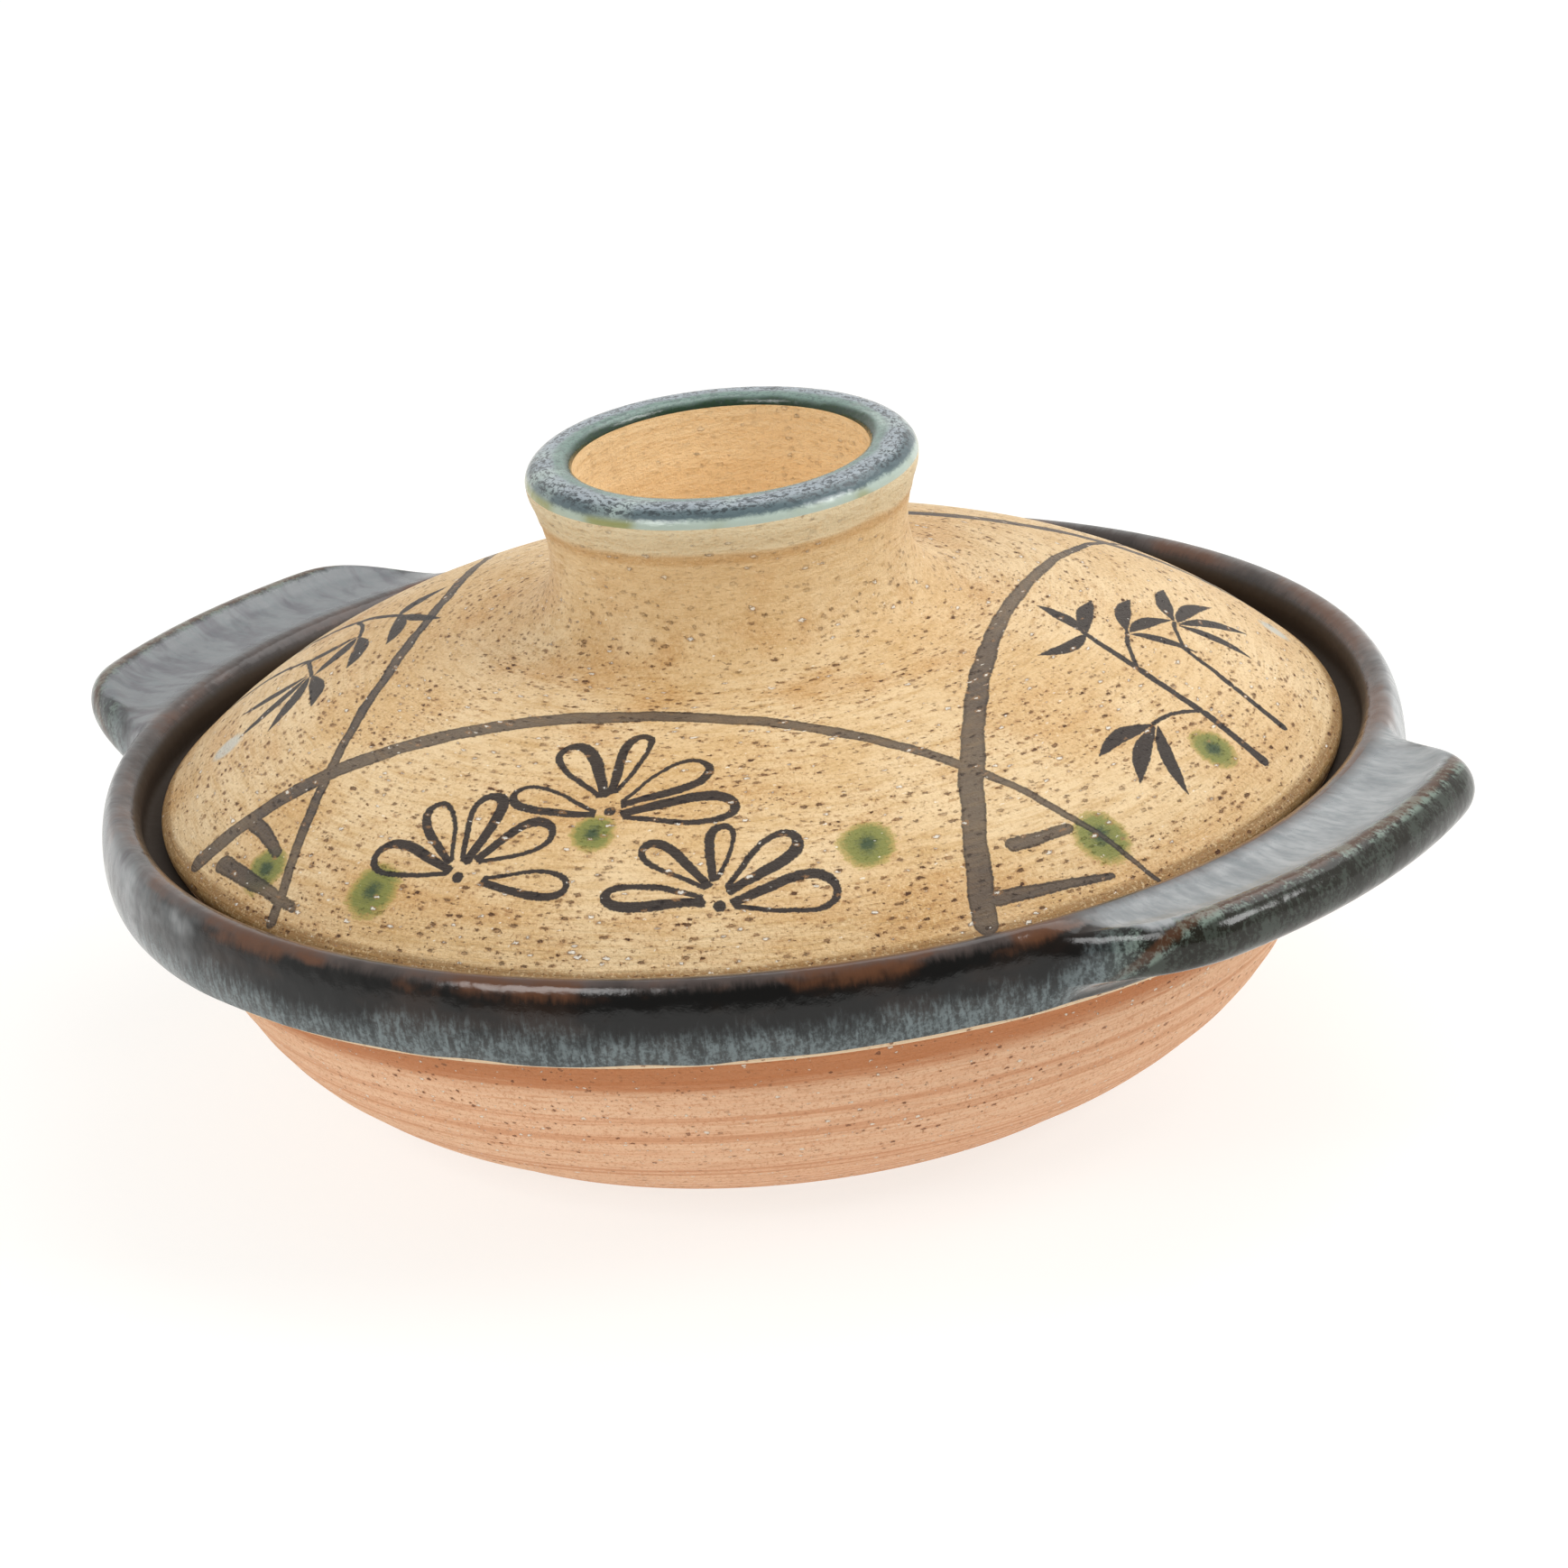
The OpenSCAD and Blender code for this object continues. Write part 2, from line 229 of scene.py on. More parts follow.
def makeStudio():
    scene = bpy.context.scene
    scene.view_settings.view_transform = "Standard"
    room = bpy.data.worlds.new("room")
    scene.world = room
    room.use_nodes = True
    tree = room.node_tree
    tree.nodes.clear()
    # the room is bright overhead and behind the pot, and dims behind the camera
    place = put(tree, "TexCoord").outputs["Generated"]
    turned = put(tree, "VectorRotate", {"Vector": place, "Angle": radians(-shot["turn"])},
                 rotation_type="Z_AXIS")
    away = put(tree, "SeparateXYZ", {0: turned.outputs[0]}).outputs["Y"]
    level = fade(tree, away, -0.95, 0.1, studio["frontLight"], 1.0)
    glow = put(tree, "Background", {"Color": tone(*studio["roomTone"]),
                                    "Strength": times(tree, level, studio["roomLight"])})
    put(tree, "OutputWorld", {"Surface": glow.outputs[0]})
    for name in ("topLight", "keyLight", "fillLight"):
        softLight(name, *studio[name])

    bm = bmesh.new()
    bmesh.ops.create_grid(bm, x_segments=4, y_segments=4, size=studio["floorSize"] / 2)
    mesh = bpy.data.meshes.new("floor")
    bm.to_mesh(mesh)
    bm.free()
    floor = bpy.data.objects.new("floor", mesh)
    scene.collection.objects.link(floor)
    paint = bpy.data.materials.new("floorPaint")
    paint.use_nodes = True
    shader = paint.node_tree.nodes["Principled BSDF"]
    for label, value in (("Base Color", tone(*studio["floorTone"])), ("Roughness", 0.95),
                         ("Emission Color", tone(*studio["roomTone"])),
                         ("Emission Strength", studio["floorGlow"])):
        plug(paint.node_tree, shader.inputs[label], value)
    mesh.materials.append(paint)


makeStudio()
print("floor and lights are set")


# shared effects
def makeWheelSpace():
    # where a point lies on the turned form: unrolled flat, and wound round a thin core
    group, given = startGroup("wheelSpace", Core=20.0)
    place = scaled(group, put(group, "TexCoord").outputs["Object"], 1000.0)
    arc = put(group, "Attribute", attribute_name="arc", attribute_type="GEOMETRY").outputs["Fac"]
    way = vec(group, "NORMALIZE", vec(group, "MULTIPLY", place, (1, 1, 0)))
    height = put(group, "CombineXYZ", {"Z": arc}).outputs[0]
    return finishGroup(group, Place=place, Arc=arc,
                       Plane=scaled(group, way, calc(group, "MAXIMUM", arc, 0.0)),
                       Wound=vec(group, "ADD", scaled(group, way, given["Core"]), height))


def makeSpecks():
    # scattered pits and grains of grog, each with a ring round it; sizes are in mm
    group, given = startGroup("specks", Place=(0, 0, 0), Spacing=1.0, Share=0.2, Size=0.3, Grains=0.25,
                              Seed=0.0)
    seed, spacing = given["Seed"], given["Spacing"]
    shift = put(group, "CombineXYZ", {"X": seed, "Y": seed, "Z": seed}).outputs[0]
    place = vec(group, "ADD", scaled(group, given["Place"], calc(group, "DIVIDE", 1.0, spacing)), shift)
    cells = put(group, "TexVoronoi", {"Vector": place, "Scale": 1.0})
    dice = put(group, "SeparateColor", {0: cells.outputs["Color"]}).outputs
    chosen = calc(group, "LESS_THAN", dice[0], given["Share"])
    reach = times(group, given["Size"], timesPlus(group, dice[1], 1.0, 0.5))
    near = calc(group, "DIVIDE", times(group, cells.outputs["Distance"], spacing), reach)
    body = times(group, fade(group, near, 1.0, 0.7), chosen)
    ring = times(group, fade(group, near, 2.0, 0.9), chosen)
    grain = calc(group, "LESS_THAN", dice[2], given["Grains"])
    pit = minus(group, 1.0, grain)
    return finishGroup(group, Pit=times(group, body, pit), PitRing=times(group, ring, pit),
                       Grain=times(group, body, grain), GrainRing=times(group, ring, grain), Tone=dice[2])


def laidOut(tree, plane, origin, turn):  # a plane's points, measured from a turned origin
    return put(tree, "Mapping", {"Vector": plane, "Location": origin, "Rotation": turn},
               vector_type="TEXTURE").outputs[0]


def makeBrushStroke():
    # distance in mm to the edge of one bowed stroke, below zero inside it
    group, given = startGroup(
        "brushStroke", Plane=(0, 0, 0), Start=(0, 0, 0), Turn=(0, 0, 0),
        Length=10.0, Bow=0.0, Lean=0.0, Width=1.5, EndWidth=1.0, Swell=0.0)
    laid = laidOut(group, given["Plane"], given["Start"], given["Turn"])
    flat = put(group, "SeparateXYZ", {0: laid}).outputs
    t = calc(group, "DIVIDE", flat["X"], given["Length"], clamp=True)
    belly = times(group, t, minus(group, 1.0, t), 4.0)
    lean = timesPlus(group, timesPlus(group, t, 2.0, -1.0), given["Lean"], 1.0)
    across = minus(group, flat["Y"], times(group, belly, lean, given["Bow"]))
    past = minus(group, flat["X"], times(group, t, given["Length"]))
    gap = vec(group, "LENGTH", put(group, "CombineXYZ", {"X": past, "Y": across}).outputs[0])
    width = put(group, "Mix", {0: t, 2: given["Width"], 3: given["EndWidth"]}).outputs[0]
    width = timesPlus(group, belly, given["Swell"], width)
    return finishGroup(group, Edge=timesPlus(group, width, -0.5, gap))


def hypotenuse(tree, a, b):
    return calc(tree, "SQRT", timesPlus(tree, a, a, times(tree, b, b)))


def makePetalLine():
    # distance in mm to a drawn petal: an outline pointed at its start and round at its tip
    group, given = startGroup(
        "petalLine", Plane=(0, 0, 0), Middle=(0, 0, 0), Turn=(0, 0, 0),
        HalfLength=7.0, HalfWidth=2.7, Point=0.72, Line=1.4, Uneven=0.3)
    laid = laidOut(group, given["Plane"], given["Middle"], given["Turn"])
    flat = put(group, "SeparateXYZ", {0: laid}).outputs
    a = calc(group, "DIVIDE", flat["X"], given["HalfLength"])
    swell = calc(group, "MAXIMUM", timesPlus(group, a, given["Point"], 1.0), 0.08)
    wide = times(group, calc(group, "DIVIDE", swell, 1.22), given["HalfWidth"])
    b = calc(group, "DIVIDE", flat["Y"], wide)
    far = hypotenuse(group, a, b)
    slope = hypotenuse(group, calc(group, "DIVIDE", a, given["HalfLength"]), calc(group, "DIVIDE", b, wide))
    slope = calc(group, "MAXIMUM", slope, 0.001)
    off = calc(group, "DIVIDE", times(group, minus(group, far, 1.0), far), slope)
    side = calc(group, "MAXIMUM", calc(group, "MINIMUM", b, 1.0), -1.0)
    line = times(group, given["Line"], timesPlus(group, side, given["Uneven"], 1.0))
    past = times(group, minus(group, calc(group, "ABSOLUTE", a), 1.0), given["HalfLength"])
    off = calc(group, "MAXIMUM", calc(group, "ABSOLUTE", off), past)
    return finishGroup(group, Edge=timesPlus(group, line, -0.5, off))


wheelSpace = makeWheelSpace()
specks = makeSpecks()
brushStroke = makeBrushStroke()
petalLine = makePetalLine()


# brushwork on the lid, in mm on the unrolled dome: towards the right lug, and away from it
brushwork = {
    # start, end, bow, lean, width, end width, swell
    "frontStrokes": [
        ((-53, -89), (105, -19), 10.5, -0.1, 4.4, 1.0, 0.4),
        ((-43.4, -82.2), (-31.5, -89.7), 0.3, 0, 3.0, 2.2, 0),
        ((-45.3, -90.8), (-20.9, -100), -0.4, 0, 3.8, 1.6, 0),
        ((84.7, -35.3), (88.4, -25.1), -0.3, 0, 2.7, 2.1, 0),
        ((89.4, -45.5), (99.4, -25.9), -0.4, 0, 3.1, 1.2, 0),
    ],
    "leftArc": ((-94.6, 54.7), (-24.5, -102.4), 10.5, 0, 1.7, 2.5, 0),
    "rightArc": ((21, 101.3), (90.8, -50.6), -14.3, 0.14, 0.6, 4.9, 0),
    # heart of the flower, then for each petal its start, its tip and its width
    "flowers": [
        ((27.6, -68.9), [((25, -70.1), (9.4, -71.5), 5.3), ((23.7, -66.3), (11.3, -58.9), 5.5),
                         ((25.5, -64.5), (21.7, -51.1), 4.3), ((28.4, -66.1), (35.4, -53), 6.3),
                         ((30.8, -68.5), (45.3, -58.8), 6.1)]),
        ((9.8, -89.4), [((7.1, -89.2), (-8.5, -88.9), 6.0), ((6.6, -86.6), (-3.1, -77.1), 5.0),
                        ((9.1, -85.9), (6.1, -72.9), 5.5), ((12, -85.4), (20.5, -75.9), 6.3),
                        ((15, -88.5), (29.3, -84.8), 5.2)]),
        ((54.8, -76.1), [((51, -76.6), (36.8, -83.5), 4.2), ((50.4, -74.3), (37.3, -72.9), 4.4),
                         ((51.3, -71.8), (46.3, -63.1), 4.2), ((54.1, -72.1), (57, -58.3), 5.3),
                         ((57.1, -74.4), (68.9, -62.5), 6.7)]),
    ],
    "heart": 2.1,
    "line": 1.25,
    # bamboo in each side window, laid out as one sees it from that side: along the lid's edge, and up from it
    "windowTurn": 23.5,
    "windowEdge": 100.0,
    "frontTurn": -67.7,  # degrees round the lid that the front and side windows face
    "sideTurn": 22.4,
    "petalPoint": 0.66,
    "lineStep": 0.2,
    "unevenLine": 0.4,
    "shake": 1.2,  # mm by which the hand shakes
    "shakeScale": 0.12,
    "farAway": 50.0,  # mm, where nothing is drawn
    "bamboo": [
        ((-17, 3), (-14.3, 15), 0.3, 0, 2.4, 2.0, -0.2), ((-14, 16.6), (-10.2, 27.6), 0.4, 0, 2.1, 1.8, -0.2),
        ((-9.6, 29), (-3.4, 39), 0.5, 0, 1.8, 1.1, 0), ((-3, 2.5), (-0.6, 12), 0.2, 0, 2.0, 1.7, -0.2),
        ((-0.2, 13.4), (4.2, 23), 0.4, 0, 1.7, 1.1, 0), ((-10, 28.2), (2.2, 33), 0.6, 0, 0.9, 0.8, 0),
        ((4, 22.4), (14, 27), 0.5, 0, 0.9, 0.8, 0), ((-14.2, 15.8), (-25, 22), -0.6, 0, 0.9, 0.8, 0),
        ((-3.4, 39), (3.5, 49), -0.8, 0, 0.5, 0.1, 2.5), ((-3, 38.6), (11, 41), 0.9, 0, 0.5, 0.1, 2.6),
        ((-4, 38.4), (-16, 44), 1.0, 0, 0.5, 0.1, 2.5), ((2.6, 33.2), (17, 35.5), 1.0, 0, 0.5, 0.1, 2.7),
        ((2.4, 32.4), (14.5, 27.6), 0.8, 0, 0.5, 0.1, 2.6), ((1.6, 32), (5, 21), 0.8, 0, 0.5, 0.1, 2.4),
        ((14.6, 27.4), (29, 32), 1.0, 0, 0.5, 0.1, 2.7), ((14.6, 26.6), (31, 23.5), 1.1, 0, 0.5, 0.1, 2.8),
        ((14.2, 26), (26.5, 15.5), 1.0, 0, 0.5, 0.1, 2.6), ((13.4, 25.8), (15, 12.5), 0.9, 0, 0.5, 0.1, 2.5),
        ((-25.6, 22.4), (-39.5, 28), -1.0, 0, 0.5, 0.1, 2.6),
        ((-25.8, 21.6), (-41.5, 20), -1.1, 0, 0.5, 0.1, 2.8),
        ((-25.2, 21), (-38, 12), -1.0, 0, 0.5, 0.1, 2.6),
    ],
    "spots": [
        ((27.8, -74), 4.0), ((67.6, -52.4), 4.8), ((90.5, 14.4), 4.6), ((93.3, -21.7), 5.4),
        ((-32.4, -93), 4.8), ((-5, -95.2), 5.4), ((-31, 71), 4.4), ((-70, 49), 4.6), ((-92, -8), 4.6),
        ((8, 96), 4.8),
    ],
    "paleSpots": [((-68.8, -59.4), 3.6), ((62.5, 74), 3.6)],
}


def layStroke(tree, plane, stroke, edges):
    (x, y), (endX, endY), bow, lean, width, endWidth, swell = stroke
    edge = use(tree, brushStroke, {
        "Plane": plane, "Start": (x, y, 0), "Turn": (0, 0, atan2(endY - y, endX - x)),
        "Length": hypot(endX - x, endY - y), "Bow": bow, "Lean": lean, "Width": width, "EndWidth": endWidth,
        "Swell": swell})[0]
    return calc(tree, "MINIMUM", edges, edge)


def layPetal(tree, plane, petal, edges, line, uneven):
    (x, y), (endX, endY), width = petal
    edge = use(tree, petalLine, {
        "Plane": plane, "Middle": ((x + endX) / 2, (y + endY) / 2, 0),
        "Turn": (0, 0, atan2(endY - y, endX - x)), "HalfLength": hypot(endX - x, endY - y) / 2,
        "HalfWidth": width / 2, "Point": brushwork["petalPoint"], "Line": line, "Uneven": uneven})[0]
    return calc(tree, "MINIMUM", edges, edge)


def laySpots(tree, plane, spots):
    near = brushwork["farAway"]
    for (x, y), reach in spots:
        away = calc(tree, "DIVIDE", vec(tree, "DISTANCE", plane, (x, y, 0)), reach)
        near = calc(tree, "MINIMUM", near, away)
    return near


def facing(tree, plane, degreesRound):
    # the plane, turned half round where it lies behind the lid's middle
    way = (cos(radians(degreesRound)), sin(radians(degreesRound)), 0)
    side = calc(tree, "SIGN", vec(tree, "DOT_PRODUCT", plane, way))
    return scaled(tree, plane, side)


def makeBrushwork():
    group, given = startGroup("lidBrushwork", Plane=(0, 0, 0))
    plane, reach = given["Plane"], brushwork["shake"]
    shake = put(group, "TexNoise", {"Vector": plane, "Scale": brushwork["shakeScale"], "Detail": 1.0})
    plane = jostled(group, plane, shake.outputs["Color"], (reach, reach, 0))
    front = facing(group, plane, brushwork["frontTurn"])
    side = facing(group, plane, brushwork["sideTurn"])

    wash = line = brushwork["farAway"]
    for stroke in brushwork["frontStrokes"]:
        wash = layStroke(group, front, stroke, wash)
    for stroke in (brushwork["leftArc"], brushwork["rightArc"]):
        wash = layStroke(group, plane, stroke, wash)

    for i, (heart, petals) in enumerate(brushwork["flowers"]):
        dot = minus(group, vec(group, "DISTANCE", front, (*heart, 0)), brushwork["heart"] / 2)
        line = calc(group, "MINIMUM", line, dot)
        for j, petal in enumerate(petals):
            weight = brushwork["line"] + brushwork["lineStep"] * ((i + 2 * j) % 3)
            line = layPetal(group, front, petal, line, weight, brushwork["unevenLine"] * (-1) ** (i + j))
    turn = radians(brushwork["windowTurn"])
    edge = (brushwork["windowEdge"] * cos(turn), brushwork["windowEdge"] * sin(turn), 0)
    window = laidOut(group, side, edge, (0, 0, turn + pi / 2))
    for stroke in brushwork["bamboo"]:
        line = layStroke(group, window, stroke, line)

    return finishGroup(group, Line=line, Wash=wash, Spot=laySpots(group, plane, brushwork["spots"]),
                       PaleSpot=laySpots(group, plane, brushwork["paleSpots"]))


lidBrushwork = makeBrushwork()


# materials; lengths and heights in them are in mm
def startMaterial(name, finish):
    material = bpy.data.materials.new(name)
    material.use_nodes = True
    tree = material.node_tree
    paint = {key: tone(*value) for key, value in finish["tones"].items()}
    return material, tree, paint, use(tree, wheelSpace, {"Core": finish["core"]})


def finishMaterial(material, colour, rough, shine, height):
    tree = material.node_tree
    shader = tree.nodes["Principled BSDF"]
    bump = put(tree, "Bump", {"Height": height, "Strength": 1.0, "Distance": 0.001})
    for label, value in (("Base Color", colour), ("Roughness", rough), ("Specular IOR Level", shine),
                         ("Normal", bump.outputs[0])):
        plug(tree, shader.inputs[label], value)
    return material


lidGlaze = {
    "tones": {
        "pale": (230, 202, 158),
        "tan": (218, 183, 132),
        "ochre": (192, 150, 88),
        "stain": (192, 140, 74),
        "edge": (132, 96, 48),
        "cream": (226, 212, 178),
        # pale cream, painted as light on the lid's back right and up the knob's neck into its well
        "inside": (252, 224, 178),
        "pitRing": (166, 120, 72),
        "pitHeart": (78, 47, 30),
        "grog": (244, 238, 226),
        "line": (34, 27, 28),
        "wash": (80, 69, 61),
        "washEdge": (48, 39, 35),
        "spotHeart": (34, 62, 44),
        "spot": (110, 122, 56),
        "spotEdge": (168, 148, 72),
        "paleSpot": (196, 200, 194),
    },
    "core": 30.0,  # radius that patterns are wound on
    "creamBand": (2.0, 4.0, 16.0, 19.0),  # along the outline, from the knob's coat outwards
    "groove": (16.6, 17.7, 18.2, 20.4),
    "smallSpecks": {"Spacing": 1.0, "Share": 0.3, "Size": 0.24, "Grains": 0.12},
    "largeSpecks": {"Spacing": 1.9, "Share": 0.42, "Size": 0.48, "Grains": 0.25, "Seed": 7.0},
    "gloss": 0.38,
    "shine": 0.32,
}


def makeLidGlaze():
    material, tree, paint, wheel = startMaterial("lidGlaze", lidGlaze)
    arc, place, wound = wheel["Arc"], wheel["Place"], wheel["Wound"]

    # glaze that pools and thins over the clay
    broad = cloud(tree, place, 0.035, 2.0, 0.55)
    streak = cloud(tree, wound, 0.7, 4.0, 0.7, stretch=(0.4, 0.4, 1.0))
    stain = cloud(tree, vec(tree, "ADD", wound, (40, 0, 0)), 0.075, 3.0, 0.62)
    stain = calc(tree, "ADD", stain, fade(tree, arc, 78.0, 104.0, 0.0, 0.07))
    nearKnob = times(tree, fade(tree, arc, 12.0, 26.0), fade(tree, arc, 58.0, 40.0, 0.0, 0.06))
    stain = calc(tree, "ADD", stain, nearKnob)
    # painted light: the lid pales towards its back right
    side = vec(tree, "DOT_PRODUCT", vec(tree, "NORMALIZE", place), (0.6, 0.75, 0))
    edgeArc = domeArc(lid["radius"] - lid["edgeRound"])
    edge = times(tree, fade(tree, timesPlus(tree, broad, 1.5, arc), edgeArc + 0.4, edgeArc + 2.0),
                 fade(tree, arc, edgeArc + 8.0, edgeArc + 5.0, 0.2, 0.85))
    # cream band under the knob's coat, and the ochre groove below it
    wavy = timesPlus(tree, broad, 4.0, arc)
    band, groove = zone(tree, wavy, lidGlaze["creamBand"]), zone(tree, wavy, lidGlaze["groove"])

    # fine lines left by the sponge, and sandy grain with pits and grog in it, drawn out along the wheel
    lines = cloud(tree, wound, 1.1, 3.0, 0.7, stretch=(0.25, 0.25, 1.0))
    fine = put(tree, "TexNoise", {"Vector": place, "Scale": 1.6, "Detail": 3.0, "Roughness": 0.8}).outputs
    grit = fine["Fac"]
    bare = times(tree, fade(tree, arc, 18.0, 42.0, 0.12, 1.0), fade(tree, stain, 0.38, 0.6, 0.55, 1.15))
    climb = put(tree, "CombineXYZ", {"Z": times(tree, arc, 1.8)}).outputs[0]
    along = vec(tree, "ADD", vec(tree, "MULTIPLY", place, (1, 1, 0)), climb)
    bent = jostled(tree, along, fine["Color"], (2.0, 2.0, 2.0))
    small = use(tree, specks, {"Place": bent, **lidGlaze["smallSpecks"]})
    large = use(tree, specks, {"Place": bent, **lidGlaze["largeSpecks"]})
    rings = summed(tree, (small["PitRing"], 0.4), (large["PitRing"], 0.6))
    deep = times(tree, large["Pit"], fade(tree, large["Tone"], 0.3, 1.0, 0.25, 0.85))
    deep = times(tree, calc(tree, "MAXIMUM", deep, times(tree, small["Pit"], 0.5)), bare)
    grain = calc(tree, "MAXIMUM", small["Grain"], large["Grain"])
    halo = minus(tree, large["GrainRing"], grain)
    grainy = fade(tree, arc, 4.0, 34.0, 0.25, 1.0)

    # brushwork
    work = use(tree, lidBrushwork, {"Plane": wheel["Plane"]})
    spot = wobble(tree, wobble(tree, work["Spot"], streak, 0.7), grit, 0.5)
    dry = fade(tree, grit, 0.36, 0.62, -0.1, 0.1)
    wash = times(tree, fade(tree, calc(tree, "ADD", work["Wash"], dry), 0.1, -0.1),
                 fade(tree, streak, 0.4, 0.7, 1.0, 0.9), fade(tree, broad, 0.4, 0.64, 0.9, 1.0))
    washTone = tint(tree, fade(tree, work["Wash"], -0.7, -0.2), paint["wash"], paint["washEdge"])
    line = fade(tree, calc(tree, "ADD", work["Line"], dry), 0.1, -0.08)

    colour = layered(
        tree, paint, "pale",
        ("tan", broad, 0.38, 0.62),
        ("ochre", streak, 0.42, 0.72, 0.0, 0.65),
        ("stain", stain, 0.53, 0.72, 0.0, 0.5),
        # painted light towards the back right
        ("inside", side, 0.1, 0.9, 0.0, 0.25),
        ("edge", edge),
        # painted light: paler up the knob's neck and inside its well
        ("inside", arc, 40.0, -8.0, 0.0, 0.9),
        ("cream", times(tree, band, 0.8)),
        ("stain", times(tree, groove, 0.5)),
        ("ochre", lines, 0.5, 0.7, 0.0, 0.3),
        ("pitRing", times(tree, fade(tree, grit, 0.5, 0.68, 0.0, 0.55), bare)),
        ("pale", grit, 0.48, 0.34, 0.0, 0.6),
        ("pitRing", times(tree, rings, bare)),
        ("pitHeart", deep),
        ("spotEdge", spot, 1.04, 0.92, 0.0, 0.75),
        ("spot", spot, 0.94, 0.66, 0.0, 0.8),
        ("spotHeart", spot, 0.52, 0.1, 0.0, 0.85),
        ("paleSpot", work["PaleSpot"], 1.1, 0.6, 0.0, 0.75),
        (washTone, wash),
        ("line", times(tree, line, 0.97)),
        ("pitRing", times(tree, halo, grainy, 0.7)),
        ("grog", times(tree, grain, grainy, 0.8)))
    rough = timesPlus(tree, deep, 0.3, timesPlus(tree, grit, 0.16, lidGlaze["gloss"]))
    holes = summed(tree, (small["Pit"], 0.4), (large["Pit"], 0.9))
    holes = times(tree, holes, bare)
    height = summed(tree, (lines, 0.35), (grit, 0.3), (holes, -1.0), (large["Grain"], 0.35))
    return finishMaterial(material, colour, rough, lidGlaze["shine"], height)


clay = {
    "tones": {
        "base": (230, 178, 140),
        "light": (238, 196, 160),
        "deep": (204, 144, 104),
        # painted shade under the rim's overhang
        "band": (188, 118, 72),
        "lip": (232, 208, 174),
        "pit": (124, 78, 54),
        "grog": (248, 238, 222),
    },
    "core": 26.0,
    # where the painted shade under the rim lies
    "shadeBandMarks": (-9.6, -5.2, 1.0, 3.0),  # along the outline, from the neck under the rim
    "lipMarks": (-1.5, -0.7, 10.0, 14.0),
    "smallSpecks": {"Spacing": 0.8, "Share": 0.24, "Size": 0.18, "Grains": 0.4},
    "largeSpecks": {"Spacing": 1.5, "Share": 0.4, "Size": 0.34, "Grains": 0.4, "Seed": 5.0},
    "dry": 0.85,
    "shine": 0.3,
}


def makeBareClay():
    material, tree, paint, wheel = startMaterial("bareClay", clay)
    arc, place, wound = wheel["Arc"], wheel["Place"], wheel["Wound"]
    rings = cloud(tree, wound, 0.5, 4.0, 0.72, stretch=(0.02, 0.02, 1.0))
    scratch = cloud(tree, wound, 1.6, 3.0, 0.7, stretch=(0.25, 0.25, 1.0))
    fine = put(tree, "TexNoise", {"Vector": place, "Scale": 1.5, "Detail": 3.0, "Roughness": 0.75}).outputs
    # a darker band under the rim, painted shade under its overhang, and the pale lip between it and the glaze
    band = zone(tree, timesPlus(tree, scratch, 2.4, arc), [clayNeck + mark for mark in clay["shadeBandMarks"]])
    lip = zone(tree, arc, [clayNeck + mark for mark in clay["lipMarks"]])
    patchy = fade(tree, cloud(tree, wound, 0.09, 2.0), 0.4, 0.6, 0.25, 1.0)
    bent = vec(tree, "MULTIPLY", jostled(tree, place, fine["Color"], (1.0, 1.0, 1.0)), (1.0, 1.0, 1.5))
    small = use(tree, specks, {"Place": bent, **clay["smallSpecks"]})
    large = use(tree, specks, {"Place": bent, **clay["largeSpecks"]})
    pit = times(tree, calc(tree, "MAXIMUM", large["Pit"], times(tree, small["Pit"], 0.6)), patchy)
    grain = calc(tree, "MAXIMUM", small["Grain"], large["Grain"])
    colour = layered(
        tree, paint, "base",
        ("light", rings, 0.36, 0.6),
        ("deep", rings, 0.48, 0.36, 0.0, 0.6),
        ("deep", scratch, 0.5, 0.7, 0.0, 0.6),
        ("deep", fine["Fac"], 0.5, 0.68, 0.0, 0.8),
        # painted shade under the rim
        ("band", times(tree, band, 0.85)),
        ("lip", times(tree, lip, 0.9)),
        ("deep", times(tree, large["PitRing"], patchy, 0.5)),
        ("pit", times(tree, pit, 0.85)),
        ("grog", times(tree, grain, 0.8)))
    height = summed(tree, (rings, 0.4), (scratch, 0.2), (fine["Fac"], 0.34), (pit, -0.4), (grain, 0.2))
    return finishMaterial(material, colour, timesPlus(tree, grain, -0.35, clay["dry"]), clay["shine"], height)


darkGlaze = {
    "tones": {
        "black": (9, 8, 7),
        "brown": (40, 26, 17),
        "olive": (30, 29, 20),
        "mauve": (92, 80, 76),
        "rust": (98, 62, 40),
        "frost": (122, 134, 136),
        "paleGreen": (146, 164, 152),
        "milk": (198, 200, 201),
        "milkShade": (148, 152, 154),
        "lugShade": (96, 101, 106),
        "dusk": (98, 92, 100),
        "duskLight": (134, 137, 140),
        "recess": (56, 42, 28),
    },
    "core": 110.0,
    "crest": (-4.5, -2.0, 0.8, 3.0),  # along the outline, from the crest outwards
    "turnDown": (0.6, 1.6, 2.4, 4.4),
    "top": (-2.0, 3.0, 15.0, 17.5),
    "lugLip": (16.2, 17.2, 18.0, 19.4),
    "gloss": 0.13,
    "recessGloss": 0.75,
    "shine": 0.4,
}


